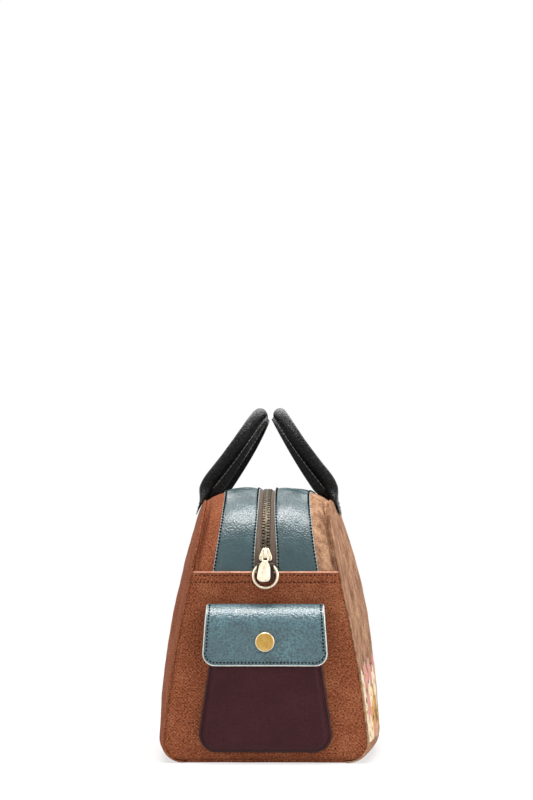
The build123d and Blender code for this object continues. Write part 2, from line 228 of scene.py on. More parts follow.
def sew(name: str, patches: Sequence[Patch], finishes: Sequence[bpy.types.Material]) -> bpy.types.Object:
    """Join patches into one piece.

    Args:
        name: Name of the piece.
        patches: Grids that make up the piece.
        finishes: Materials that the patches pick from.

    Returns:
        The piece, in metres in the shared frame.
    """
    places: list[Array] = []
    quads: list[Array] = []
    cloth: list[Array] = []
    picks: list[Array] = []
    start = 0
    for patch in patches:
        rows, columns = patch.points.shape[:2]
        last = columns if patch.closed else columns - 1
        row, column = (
            grid.ravel() for grid in np.meshgrid(np.arange(rows - 1), np.arange(last), indexing="ij")
        )
        beside = (column + 1) % columns
        corners = [
            row * columns + column,
            row * columns + beside,
            (row + 1) * columns + beside,
            (row + 1) * columns + column,
        ]
        quads.append(np.stack(corners, axis=1) + start)
        lengths = patch.lengths
        around = [
            lengths[row, column],
            lengths[row, column + 1],
            lengths[row + 1, column + 1],
            lengths[row + 1, column],
        ]
        cloth.append(np.stack(around, axis=1).reshape(-1, 2))
        picks.append(np.full(len(row), patch.finish))
        places.append(patch.points.reshape(-1, 3))
        start += rows * columns
    mesh = bpy.data.meshes.new(name)
    mesh.from_pydata((np.concatenate(places) * MM).tolist(), [], np.concatenate(quads).tolist())
    layer = mesh.uv_layers.new(name="cloth_mm")
    layer.data.foreach_set("uv", np.concatenate(cloth).astype(np.float32).ravel())
    mesh.polygons.foreach_set("material_index", np.concatenate(picks).astype(np.int32))
    mesh.polygons.foreach_set("use_smooth", np.ones(len(mesh.polygons), dtype=bool))
    for finish in finishes:
        mesh.materials.append(finish)
    mesh.update()
    piece = bpy.data.objects.new(name, mesh)
    bpy.context.scene.collection.objects.link(piece)
    return piece


def tube(
    line: Array, radius: Array | float, sides: int = 10, closed: bool = False, finish: int = 0
) -> Patch:
    """Round tube along a line.

    Args:
        line: Points along the middle, in millimetres.
        radius: One radius, or one for each point.
        sides: Points round the tube.
        closed: True where the line's end meets its start.
        finish: Place of the tube's finish in its piece's list.

    Returns:
        The tube as a patch.
    """
    middle = np.vstack([line, line[:1]]) if closed else line
    ahead = unit(np.gradient(middle, axis=0))
    if closed:
        ahead[0] = ahead[-1] = unit(middle[1] - middle[-2])
    helper = np.array([0.0, 0.0, 1.0]) if abs(ahead[0][2]) < 0.8 else np.array([1.0, 0.0, 0.0])
    rights = [unit(np.cross(ahead[0], helper))]
    for step in ahead[1:]:
        rights.append(unit(rights[-1] - step * np.dot(rights[-1], step)))
    right = np.array(rights)
    up = np.cross(right, ahead)
    turn = np.linspace(0, 2 * math.pi, sides, endpoint=False)
    reach = np.broadcast_to(np.asarray(radius, dtype=float), (len(middle),))[:, None, None]
    ring = right[:, None] * np.cos(turn)[None, :, None] + up[:, None] * np.sin(turn)[None, :, None]
    return Patch.from_points(middle[:, None] + ring * reach, closed=True, finish=finish)


def stitches(
    line: Array, faces: Array, pitch: float = 4.2, share: float = 0.62, radius: float = 0.42
) -> list[Patch]:
    """Row of raised thread stitches along a line.

    Args:
        line: Points that the row follows, in millimetres.
        faces: Outward direction of the cloth at each point.
        pitch: Distance from stitch to stitch.
        share: Part of the pitch that a stitch takes.
        radius: Half the thread's thickness.

    Returns:
        One patch for each stitch.
    """
    run = steps(line)
    count = max(1, int(run[-1] / pitch))
    spots = (np.arange(count) + 0.5) * run[-1] / count
    rows = np.linspace(-1, 1, 5)
    lift = np.array([-0.75, 0.2, 0.45, 0.2, -0.75]) * radius
    girth = np.array([0.35, 0.95, 1.05, 0.95, 0.35]) * radius
    turn = np.linspace(0, 2 * math.pi, 6, endpoint=False)
    made = []
    for spot in spots:
        places = np.clip(spot + rows * pitch * share / 2, 0, run[-1])
        middle = np.stack([np.interp(places, run, line[:, axis]) for axis in range(3)], axis=1)
        face = unit(np.stack([np.interp(places, run, faces[:, axis]) for axis in range(3)], axis=1))
        ahead = unit(np.gradient(middle, axis=0))
        beside = np.cross(face, ahead)
        middle = middle + face * lift[:, None]
        ring = beside[:, None] * np.cos(turn)[None, :, None] + face[:, None] * np.sin(turn)[None, :, None]
        made.append(Patch.from_points(middle[:, None] + ring * girth[:, None, None], closed=True))
    return made


def faces_of(points: Array, toward: Array) -> Array:
    """Outward directions of a grid of points.

    Args:
        points: Rows by columns of places.
        toward: Direction that outward roughly has.

    Returns:
        Unit directions in the shape of the points.
    """
    across = np.gradient(points, axis=1)
    down = np.gradient(points, axis=0)
    normal = unit(np.cross(across, down))
    flip = np.sign((normal * toward).sum(axis=-1, keepdims=True))
    return normal * np.where(flip == 0, 1, flip)


def thicken(piece: bpy.types.Object, depth: float, offset: float, edge: int = 0) -> None:
    """Give a sheet its thickness.

    Args:
        piece: Sheet to thicken.
        depth: Thickness in millimetres.
        offset: Side that the thickness goes to, -1 to 1.
        edge: Steps from the sheet's finish to its edge's finish.
    """
    solid = piece.modifiers.new("thickness", "SOLIDIFY")
    solid.thickness = depth * MM
    solid.offset = offset
    solid.material_offset_rim = edge
    solid.use_even_offset = False


def belongs(piece: bpy.types.Object, body: str, slot: str, *nodes: str) -> None:
    """Make a piece ride a body and hide the solids that it stands for.

    Args:
        piece: The piece.
        body: Body that it rides.
        slot: Not used.
        nodes: Solids that it stands for.
    """
    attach(piece, body)
    if nodes:
        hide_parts(*nodes)


# Finishes, each named for the real material and how its surface is made


@dataclass(frozen=True)
class Finish:
    """Surface with a base colour, a darker and a lighter one, and a roughness.

    Attributes:
        name: Material's common name and making.
        base: Main colour as sRGB hex.
        dark: Colour of hollows and worn-in places.
        light: Colour of rubbed and raised places.
        roughness: Middle roughness of the surface.
    """

    name: str
    base: str
    dark: str
    light: str
    roughness: float

    def begin(self) -> tuple[bpy.types.Material, bpy.types.NodeTree, bpy.types.Node]:
        """Start the material with an empty shader.

        Returns:
            The material, its node tree and its shader node.
        """
        material = bpy.data.materials.new(self.name)
        material.use_nodes = True
        tree = material.node_tree
        tree.nodes.clear()
        shader = add_node(tree, "ShaderNodeBsdfPrincipled", {"Roughness": self.roughness})
        add_node(tree, "ShaderNodeOutputMaterial", None, {"Surface": shader.outputs["BSDF"]})
        return material, tree, shader

    def colours(self, share: bpy.types.NodeSocket, tree: bpy.types.NodeTree, spread: float = 0.22):
        """Run from dark through base to light as a share goes from zero to one.

        Args:
            share: Socket with the share.
            tree: Material's node tree.
            spread: Distance of the dark and light stops from the middle.

        Returns:
            Socket with the colour.
        """
        stops = [
            (0.5 - spread, linear(self.dark)), (0.5, linear(self.base)), (0.5 + spread, linear(self.light))
        ]
        return add_node(tree, "ShaderNodeValToRGB", {"ramp": stops}, {"Fac": share}).outputs["Color"]


@dataclass(frozen=True)
class TwillCanvas(Finish):
    """Cotton canvas woven in a twill: light and dark yarn specks over faint slanting ribs, dull and uneven.

    Attributes:
        rib: Rib spacing in millimetres.
        patch: Size of the washed-in patches in millimetres.
        stretch: How much longer the yarn slubs are along the bag.
        contrast: How far the hollows between yarns darken.
        hollow: Colour of the hollows between yarns.
        blotch: Strength of the darker blotches.
        wash: Softness of the washed-in patches.
    """

    rib: float = 1.9
    patch: float = 26.0
    stretch: float = 1.0
    contrast: float = 1.0
    hollow: str = "#42200f"
    blotch: float = 0.0
    wash: float = 0.16

    def make(self) -> bpy.types.Material:
        """Build the material.

        Returns:
            The woven cloth material.
        """
        material, tree, shader = self.begin()
        # Real twill ribs are about 1 mm apart; they are drawn coarser so that they show in the render.
        cloth = add_node(tree, "ShaderNodeTexCoord").outputs["UV"]
        # A wave texture repeats every 0.628 units at a scale of one.
        # Its diagonal bands lie closer by root two.
        ribs = add_node(
            tree,
            "ShaderNodeTexWave",
            {
                "wave_type": "BANDS",
                "bands_direction": "DIAGONAL",
                "Scale": 0.628 / (self.rib * math.sqrt(2)),
                "Distortion": 3.0,
                "Detail": 3.0,
                "Detail Scale": 2.0,
            },
            {"Vector": cloth},
        ).outputs["Fac"]
        # Yarn slubs are about 0.6 mm thick; they are drawn at 1.5 mm so that they show.
        drawn = add_node(
            tree, "ShaderNodeVectorMath", {"operation": "MULTIPLY", 1: (1 / self.stretch, 1, 1)}, {0: cloth}
        ).outputs[0]
        slubs = add_node(
            tree,
            "ShaderNodeTexNoise",
            {"Scale": 1 / 1.5, "Detail": 3.0, "Roughness": 0.75},
            {"Vector": drawn},
        ).outputs["Fac"]
        patches = add_node(
            tree,
            "ShaderNodeTexNoise",
            {"Scale": 1 / self.patch, "Detail": 6.0, "Roughness": 0.6},
            {"Vector": cloth},
        ).outputs["Fac"]
        relief = add_node(
            tree, "ShaderNodeMath", {"operation": "MULTIPLY_ADD", 1: 0.07}, {0: ribs, 2: slubs}
        ).outputs[0]
        colour = self.colours(patches, tree, self.wash)
        if self.blotch:
            spots = add_node(
                tree,
                "ShaderNodeTexNoise",
                {"Scale": 2.6 / self.patch, "Detail": 4.0, "Roughness": 0.65},
                {"Vector": cloth},
            ).outputs["Fac"]
            spotted = add_node(
                tree,
                "ShaderNodeMapRange",
                {"From Min": 0.49, "From Max": 0.6, "To Min": 0.0, "To Max": self.blotch},
                {"Value": spots},
            ).outputs[0]
            colour = add_node(
                tree, "ShaderNodeMix", {"data_type": "RGBA", 7: linear(self.dark)}, {0: spotted, 6: colour}
            ).outputs[2]
        raised = add_node(
            tree,
            "ShaderNodeMapRange",
            {"From Min": 0.56, "From Max": 0.74, "To Min": 0.0, "To Max": 0.85 * self.contrast},
            {"Value": relief},
        ).outputs[0]
        rubbed = add_node(
            tree, "ShaderNodeMix", {"data_type": "RGBA", 7: linear(self.light)}, {0: raised, 6: colour}
        ).outputs[2]
        sunk = add_node(
            tree,
            "ShaderNodeMapRange",
            {"From Min": 0.4, "From Max": 0.53, "To Min": self.contrast, "To Max": 0.0},
            {"Value": relief},
        ).outputs[0]
        woven = add_node(
            tree, "ShaderNodeMix", {"data_type": "RGBA", 7: linear(self.hollow)}, {0: sunk, 6: rubbed}
        ).outputs[2]
        bump = add_node(
            tree, "ShaderNodeBump", {"Strength": 0.9, "Distance": 0.25 * MM}, {"Height": relief}
        )
        shader.inputs["Specular IOR Level"].default_value = 0.06
        tree.links.new(woven, shader.inputs["Base Color"])
        tree.links.new(bump.outputs["Normal"], shader.inputs["Normal"])
        return material


@dataclass(frozen=True)
class PebbledLeather(Finish):
    """Tanned hide, milled to a pebbled grain and dyed: soft gloss on the pebbles, dark valleys between.

    Attributes:
        grain: Pebble width in millimetres.
        depth: Depth of the valleys in millimetres.
        patch: Size of the dye's patches in millimetres.
        gloss: Weight of the clear top dressing.
        shine: Weight of the hide's own specular layer.
        valley: How far the valleys between pebbles darken.
    """

    grain: float = 1.3
    depth: float = 0.16
    patch: float = 22.0
    gloss: float = 0.0
    shine: float = 0.4
    valley: float = 0.5

    def make(self) -> bpy.types.Material:
        """Build the material.

        Returns:
            The leather material.
        """
        material, tree, shader = self.begin()
        place = add_node(tree, "ShaderNodeTexCoord").outputs["Object"]
        bend = add_node(
            tree,
            "ShaderNodeTexNoise",
            {"Scale": 1 / (3.0 * self.grain * MM), "Detail": 2.0},
            {"Vector": place},
        ).outputs["Color"]
        shifted = add_node(
            tree,
            "ShaderNodeVectorMath",
            {"operation": "MULTIPLY_ADD", 1: (self.grain * MM,) * 3},
            {0: bend, 2: place},
        ).outputs[0]
        cells = add_node(
            tree,
            "ShaderNodeTexVoronoi",
            {
                "feature": "SMOOTH_F1",
                "Scale": 1 / (self.grain * MM),
                "Smoothness": 0.35,
                "Randomness": 0.95,
            },
            {"Vector": shifted},
        ).outputs["Distance"]
        pebble = add_node(
            tree,
            "ShaderNodeMapRange",
            {
                "interpolation_type": "SMOOTHSTEP",
                "From Min": 0.15,
                "From Max": 0.75,
                "To Min": 1.0,
                "To Max": 0.0,
            },
            {"Value": cells},
        ).outputs[0]
        dye = add_node(
            tree,
            "ShaderNodeTexNoise",
            {"Scale": 1 / (self.patch * MM), "Detail": 5.0, "Roughness": 0.6},
            {"Vector": place},
        ).outputs["Fac"]
        dyed = self.colours(dye, tree, 0.7)
        valley = add_node(
            tree,
            "ShaderNodeMapRange",
            {"From Min": 0.0, "From Max": 0.6, "To Min": self.valley, "To Max": 0.0},
            {"Value": pebble},
        ).outputs[0]
        colour = add_node(
            tree, "ShaderNodeMix", {"data_type": "RGBA", 7: linear(self.dark)}, {0: valley, 6: dyed}
        ).outputs[2]
        rough = add_node(
            tree,
            "ShaderNodeMapRange",
            {"To Min": self.roughness - 0.06, "To Max": self.roughness + 0.08},
            {"Value": dye},
        ).outputs[0]
        bump = add_node(
            tree, "ShaderNodeBump", {"Strength": 0.85, "Distance": self.depth * MM}, {"Height": pebble}
        )
        shader.inputs["Specular IOR Level"].default_value = self.shine
        shader.inputs["Coat Weight"].default_value = self.gloss
        shader.inputs["Coat Roughness"].default_value = 0.35
        tree.links.new(colour, shader.inputs["Base Color"])
        tree.links.new(rough, shader.inputs["Roughness"])
        tree.links.new(bump.outputs["Normal"], shader.inputs["Normal"])
        return material


@dataclass(frozen=True)
class PlatedMetal(Finish):
    """Die-cast zinc or brass with a thin plated skin: bright where rubbed, dull and dark in its hollows.

    Attributes:
        patch: Size of the tarnished patches in millimetres.
    """

    patch: float = 3.0

    def make(self) -> bpy.types.Material:
        """Build the material.

        Returns:
            The metal material.
        """
        material, tree, shader = self.begin()
        place = add_node(tree, "ShaderNodeTexCoord").outputs["Object"]
        tarnish = add_node(
            tree,
            "ShaderNodeTexNoise",
            {"Scale": 1 / (self.patch * MM), "Detail": 5.0, "Roughness": 0.65},
            {"Vector": place},
        ).outputs["Fac"]
        # Polishing scratches are a few hundredths of a millimetre wide; they are drawn at 0.3 mm to show.
        scratch = add_node(
            tree, "ShaderNodeTexNoise", {"Scale": 1 / (0.3 * MM), "Detail": 3.0}, {"Vector": place}
        ).outputs["Fac"]
        rough = add_node(
            tree,
            "ShaderNodeMapRange",
            {"To Min": self.roughness - 0.08, "To Max": self.roughness + 0.16},
            {"Value": tarnish},
        ).outputs[0]
        bump = add_node(
            tree, "ShaderNodeBump", {"Strength": 0.25, "Distance": 0.02 * MM}, {"Height": scratch}
        )
        shader.inputs["Metallic"].default_value = 1.0
        tree.links.new(self.colours(tarnish, tree, 0.2), shader.inputs["Base Color"])
        tree.links.new(rough, shader.inputs["Roughness"])
        tree.links.new(bump.outputs["Normal"], shader.inputs["Normal"])
        return material


@dataclass(frozen=True)
class WovenTape(Finish):
    """Polyester zip tape, woven in fine lengthwise chains: a soft dull stripe along the tape.

    Attributes:
        thread: Spacing of the chains in millimetres.
    """

    thread: float = 0.9

    def make(self) -> bpy.types.Material:
        """Build the material.

        Returns:
            The tape material.
        """
        material, tree, shader = self.begin()
        # Real chains are about 0.5 mm apart; they are drawn coarser so that they show in the render.
        cloth = add_node(tree, "ShaderNodeTexCoord").outputs["UV"]
        chains = add_node(
            tree,
            "ShaderNodeTexWave",
            {"bands_direction": "X", "Scale": 0.628 / self.thread / 2, "Distortion": 0.6, "Detail": 1.0},
            {"Vector": cloth},
        ).outputs["Fac"]
        picks = add_node(
            tree,
            "ShaderNodeTexWave",
            {"bands_direction": "Y", "Scale": 0.628 / self.thread / 2, "Distortion": 0.8, "Detail": 1.0},
            {"Vector": cloth},
        ).outputs["Fac"]
        weave = add_node(
            tree, "ShaderNodeMath", {"operation": "MULTIPLY"}, {0: chains, 1: picks}
        ).outputs[0]
        bump = add_node(tree, "ShaderNodeBump", {"Strength": 0.8, "Distance": 0.12 * MM}, {"Height": weave})
        shader.inputs["Specular IOR Level"].default_value = 0.3
        tree.links.new(self.colours(weave, tree, 0.4), shader.inputs["Base Color"])
        tree.links.new(bump.outputs["Normal"], shader.inputs["Normal"])
        return material


@dataclass(frozen=True)
class FineGrain(Finish):
    """Small trim with a fine speckle: bonded thread, painted leather edges, printed ink or greyboard.

    Attributes:
        speck: Size of the speckle in millimetres.
        depth: Height of the speckle in millimetres.
        shine: Weight of the specular layer.
    """

    speck: float = 0.8
    depth: float = 0.05
    shine: float = 0.4

    def make(self) -> bpy.types.Material:
        """Build the material.

        Returns:
            The trim material.
        """
        material, tree, shader = self.begin()
        place = add_node(tree, "ShaderNodeTexCoord").outputs["Object"]
        specks = add_node(
            tree,
            "ShaderNodeTexNoise",
            {"Scale": 1 / (self.speck * MM), "Detail": 4.0, "Roughness": 0.6},
            {"Vector": place},
        ).outputs["Fac"]
        bump = add_node(
            tree, "ShaderNodeBump", {"Strength": 0.7, "Distance": self.depth * MM}, {"Height": specks}
        )
        shader.inputs["Specular IOR Level"].default_value = self.shine
        tree.links.new(self.colours(specks, tree), shader.inputs["Base Color"])
        tree.links.new(bump.outputs["Normal"], shader.inputs["Normal"])
        return material


class Finishes:
    """All the bag's finishes, made once."""

    def __init__(self) -> None:
        """Make each material from its finish."""
        # Dull slanting ribs with a washed, rusty unevenness
        self.rust_canvas = TwillCanvas(
            "cotton_twill_woven_rust", "#854a32", "#6d3a26", "#b67a56", 0.88, wash=0.55
        ).make()
        # The same twill made paler along the folded hem edge: a painted highlight where the fold catches the
        # light
        self.hem_highlight_canvas = TwillCanvas(
            "cotton_twill_rust_painted_highlight",
            "#c4907a",
            "#a5705a",
            "#d8ab97",
            0.88,
            contrast=0.6,
            hollow="#8a523c",
        ).make()
        # Tan ground with brown clouds, as cloth that was printed and washed
        self.tan_canvas = TwillCanvas(
            "cotton_twill_printed_tan",
            "#a47a61",
            "#5a3925",
            "#c9a37e",
            0.86,
            patch=20.0,
            stretch=4.0,
            contrast=0.5,
            hollow="#6f4a34",
            blotch=0.45,
            wash=0.24,
        ).make()
        # The same tan cloth on the narrow band, lightly mottled
        self.band_canvas = TwillCanvas(
            "cotton_twill_printed_tan_band",
            "#a07a60",
            "#6c4a35",
            "#c6a07d",
            0.86,
            patch=9.0,
            hollow="#6f4a34",
            contrast=0.8,
        ).make()
        # Blue-green hide with a soft sheen that goes pale where it bends to the light
        self.teal_leather = PebbledLeather(
            "cow_leather_milled_teal",
            "#0e383e",
            "#0a282c",
            "#174a50",
            0.33,
            grain=1.6,
            depth=0.17,
            gloss=0.2,
            shine=0.72,
        ).make()
        # The same hide as a lighter copy: its paler base is painted light for the flap's brighter tone, and
        # its valleys are darkened almost fully as painted shade so that the pebbles read as lit
        self.flap_lit_leather = PebbledLeather(
            "cow_leather_teal_painted_light",
            "#3a646c",
            "#173740",
            "#54858c",
            0.35,
            grain=1.5,
            depth=0.2,
            gloss=0.25,
            shine=0.9,
            valley=0.95,
        ).make()
        # Deep wine-brown hide with rounded pebbles
        self.plum_leather = PebbledLeather(
            "cow_leather_milled_plum",
            "#3c1c21",
            "#2c1216",
            "#492529",
            0.5,
            grain=1.4,
            depth=0.16,
            shine=0.12,
        ).make()
        # Skived piping leather, stretched smooth and shinier than the pouch
        self.piping_leather = PebbledLeather(
            "cow_leather_skived_plum",
            "#2f1519",
            "#1f0c0f",
            "#40201f",
            0.36,
            grain=1.0,
            depth=0.05,
            shine=0.3,
        ).make()
        # Near-black hide whose pebbles catch small lights
        self.black_leather = PebbledLeather(
            "cow_leather_milled_black",
            "#0a0a0a",
            "#040404",
            "#131212",
            0.36,
            grain=1.9,
            depth=0.36,
            shine=0.12,
        ).make()
        # Dark brown strap leather, smoother than the rest
        self.dark_leather = PebbledLeather(
            "strap_leather_waxed_brown",
            "#33211d",
            "#1d1311",
            "#46302a",
            0.46,
            grain=1.0,
            depth=0.1,
            shine=0.3,
        ).make()
        # Grey-brown ribbon with a fine lengthwise weave
        self.zip_tape = WovenTape("polyester_tape_woven_taupe", "#756254", "#4d3f36", "#948070", 0.8).make()
        # Brass darkened by a bath, rubbed bright on top
        self.antique_brass = PlatedMetal(
            "brass_stamped_antique", "#544c41", "#2f2922", "#7d7363", 0.5
        ).make()
        # Pale warm plating, smooth and bright
        self.pale_gold = PlatedMetal(
            "zinc_cast_pale_gold_plate", "#f3e6cc", "#d9c6a0", "#fbf3e2", 0.3
        ).make()
        # Yellow brass with a soft polish
        self.yellow_brass = PlatedMetal(
            "brass_pressed_polished", "#c39b52", "#b08640", "#d3b06a", 0.34, patch=9.0
        ).make()
        # Dark bonded thread that reads as dots along the teal edges
        self.dark_thread = FineGrain(
            "nylon_thread_bonded_dark",
            "#100f0f",
            "#080707",
            "#1c1918",
            0.6,
            speck=0.5,
            depth=0.06,
            shine=0.1,
        ).make()
        # Rust thread, a little lighter than the cloth
        self.rust_thread = FineGrain(
            "nylon_thread_bonded_rust", "#7a4029", "#552817", "#96563a", 0.55, speck=0.5, depth=0.06
        ).make()
        # Dark brown thread that reads as a dotted row under the hem
        self.hem_thread = FineGrain(
            "nylon_thread_bonded_brown",
            "#34170f",
            "#200c07",
            "#4a2418",
            0.55,
            speck=0.5,
            depth=0.06,
            shine=0.1,
        ).make()
        # Grey thread on the black handles
        self.grey_thread = FineGrain(
            "nylon_thread_bonded_grey", "#6a6662", "#3a3735", "#9a958f", 0.5, speck=0.5, depth=0.06
        ).make()
        # Brushed-on edge paint, pale and slightly glossy
        self.pale_edge = FineGrain(
            "leather_edge_painted_pale", "#ccd0ca", "#9aa3a0", "#e8e8e0", 0.4, speck=1.2, depth=0.04
        ).make()
        # Thinner edge paint that lets the hide's colour through
        self.grey_edge = FineGrain(
            "leather_edge_painted_grey",
            "#a3b4b4",
            "#74898a",
            "#c4d0ce",
            0.45,
            speck=1.2,
            depth=0.04,
            shine=0.3,
        ).make()
        # Black edge paint on the handles
        self.black_edge = FineGrain(
            "leather_edge_painted_black", "#2c2a29", "#151414", "#56514d", 0.36, speck=1.2, depth=0.04
        ).make()
        # Grey-brown pulp board
        self.greyboard = FineGrain(
            "greyboard_pressed", "#9a8b78", "#75685a", "#b5a793", 0.9, 1.8, 0.08, 0.2
        ).make()
        # Screen inks, matt, with the cloth's weave breaking them up
        self.inks = [
            FineGrain(name, base, dark, light, 0.85, speck=1.5, depth=0.12, shine=0.2).make()
            for name, base, dark, light in (
                ("screen_ink_cream", "#e3d3b4", "#b99f7c", "#f3e9d4"),
                ("screen_ink_rose", "#cf8f86", "#a05f58", "#e4b4a9"),
                ("screen_ink_ochre", "#c8964a", "#94682c", "#e0b877"),
                ("screen_ink_sage", "#6f7a55", "#48523a", "#939d78"),
                ("screen_ink_pine", "#38432f", "#23291d", "#55614a"),
            )
        ]


# Shape of the sewn bag


@dataclass(frozen=True)
class BagForm:
    """Outline curves of the bag in millimetres, the same as its solids'.

    Attributes:
        length: Bag's length.
        height: Height of the arched top at mid-width.
        corner: Radius of the arched top's corners.
        crown_drop: Fall of the top from mid-width to the widest half.
        waist: Height of the middle station of the sides.
        trim: Run of the end stations past the bag.
        end_halves: Half depths at the end stations, at base, waist and top.
        mid_halves: Half depths at mid-length, at base, waist and top.
        roll: Radius of the panels' roll under the bag.
        base_seam: Distance of the base's seams from the middle.
        wall: Thickness of the panels.
        hem: Height of the end gussets' hems.
        flat_half: Half width of the flatter middle of the top.
    """

    length: float = 300.0
    height: float = 231.4
    corner: float = 72.4
    crown_drop: float = 38.8
    waist: float = 105.0
    trim: float = 10.0
    end_halves: tuple[float, float, float] = (86.8, 71.4, 36.0)
    mid_halves: tuple[float, float, float] = (96.5, 89.4, 50.0)
    roll: float = 17.0
    base_seam: float = 67.0
    wall: float = 2.4
    hem: float = 159.0
    flat_half: float = 56.0

    def side_arc(self, halves: tuple[float, float, float], z: Array) -> Array:
        """Half depth at heights along one station's arc.

        Args:
            halves: Half depths at base, waist and top.
            z: Heights.

        Returns:
            Half depths.
        """
        across = np.array(halves)
        levels = np.array([0.0, self.waist, self.height + self.trim])
        table = np.stack([2 * across, 2 * levels, np.ones(3)], axis=1)
        middle, level, rest = np.linalg.solve(table, across**2 + levels**2)
        radius = rest + middle**2 + level**2
        return middle + np.sqrt(radius - (z - level) ** 2)

    def side(self, y: Array, z: Array) -> Array:
        """Half depth of the bag before its lower roll."""
        mid = self.side_arc(self.mid_halves, z)
        end = self.side_arc(self.end_halves, z)
        return mid + (end - mid) * (y / (self.length / 2 + self.trim)) ** 2

    def half(self, y: Array, z: Array, inset: float = 0.0) -> Array:
        """Half depth of the bag with its lower roll.

        Args:
            y: Places along the bag.
            z: Heights.
            inset: Depth below the skin.

        Returns:
            Half depths.
        """
        radius = self.roll - inset
        fall = np.clip(self.roll - z, 0, radius)
        rolled = self.side(y, 0 * z + self.roll) - self.roll + np.sqrt(radius**2 - fall**2)
        return np.where(z >= self.roll, self.side(y, z) - inset, rolled)

    def drop(self, x: Array) -> Array:
        """Fall of the arched top away from mid-width, flatter between the seams."""
        plain = self.crown_drop * (x / self.mid_halves[0]) ** 2
        flat = np.clip(np.abs(x) / self.flat_half, 0, 1) ** 2
        return plain * flat

    def panel_top(self, y: Array) -> Array:
        """Height of the face panels' upper edge along the bag.

        Args:
            y: Places along the bag.

        Returns:
            Heights.
        """
        reach = np.clip(np.abs(y) - (self.length / 2 - self.corner), 0, self.corner)
        level = self.height - self.corner + np.sqrt(self.corner**2 - reach**2)
        z = level - 15.0
        for _ in range(30):
            z = level - self.drop(self.side(y, z))
        return z


@dataclass(frozen=True)
class ArchLine:
    """Middle line of the zip gusset, from the near hem over the top to the far hem.

    Attributes:
        form: Shape of the bag.
        tuck: Length hidden behind each hem.
        gap: Distance between stations.
    """

    form: BagForm
    tuck: float = 6.6
    gap: float = 2.2

    def stations(self) -> tuple[Array, Array, Array]:
        """Places along the line.

        Returns:
            Places (Y, Z), outward directions (Y, Z) and the length run from the near hem.
        """
        form = self.form
        straight = form.length / 2 - form.corner
        quarter = form.corner * math.pi / 2
        total = 2 * quarter + 2 * straight
        run = np.arange(-self.tuck, total + self.tuck + self.gap / 2, self.gap)
        near = np.clip(run / form.corner, 0, math.pi / 2)
        far = np.clip((run - quarter - 2 * straight) / form.corner, 0, math.pi / 2)
        turn = near + far
        along = np.clip(run - quarter, 0, 2 * straight) - straight
        sink = np.where(run < 0, run, 0) + np.where(run > total, total - run, 0)
        facing = np.stack([-np.cos(turn), np.sin(turn)], axis=1)
        middle = np.stack([along, np.full_like(run, form.hem) + sink], axis=1)
        return middle + form.corner * facing, facing, run

    def point(self, x: Array, depth: Array) -> Array:
        """Places at distances from mid-width and depths below the skin.

        Args:
            x: Distances, one row for each station.
            depth: Depths in the same shape.

        Returns:
            Rows by columns of places.
        """
        place, facing, _ = self.stations()
        y = place[:, :1] - facing[:, :1] * depth
        z = place[:, 1:] - facing[:, 1:] * depth - self.form.drop(x)
        return np.stack([x, y, z], axis=-1)

    def reach(self, depth: float) -> Array:
        """Half depth of the bag at each station.

        Args:
            depth: Depth below the skin.

        Returns:
            One half depth for each station.
        """
        place, facing, _ = self.stations()
        y = place[:, 0] - facing[:, 0] * depth
        level = place[:, 1] - facing[:, 1] * depth
        x = 0 * y + 50.0
        for _ in range(20):
            x = self.form.side(y, level - self.form.drop(x))
        return x


# Cloth body


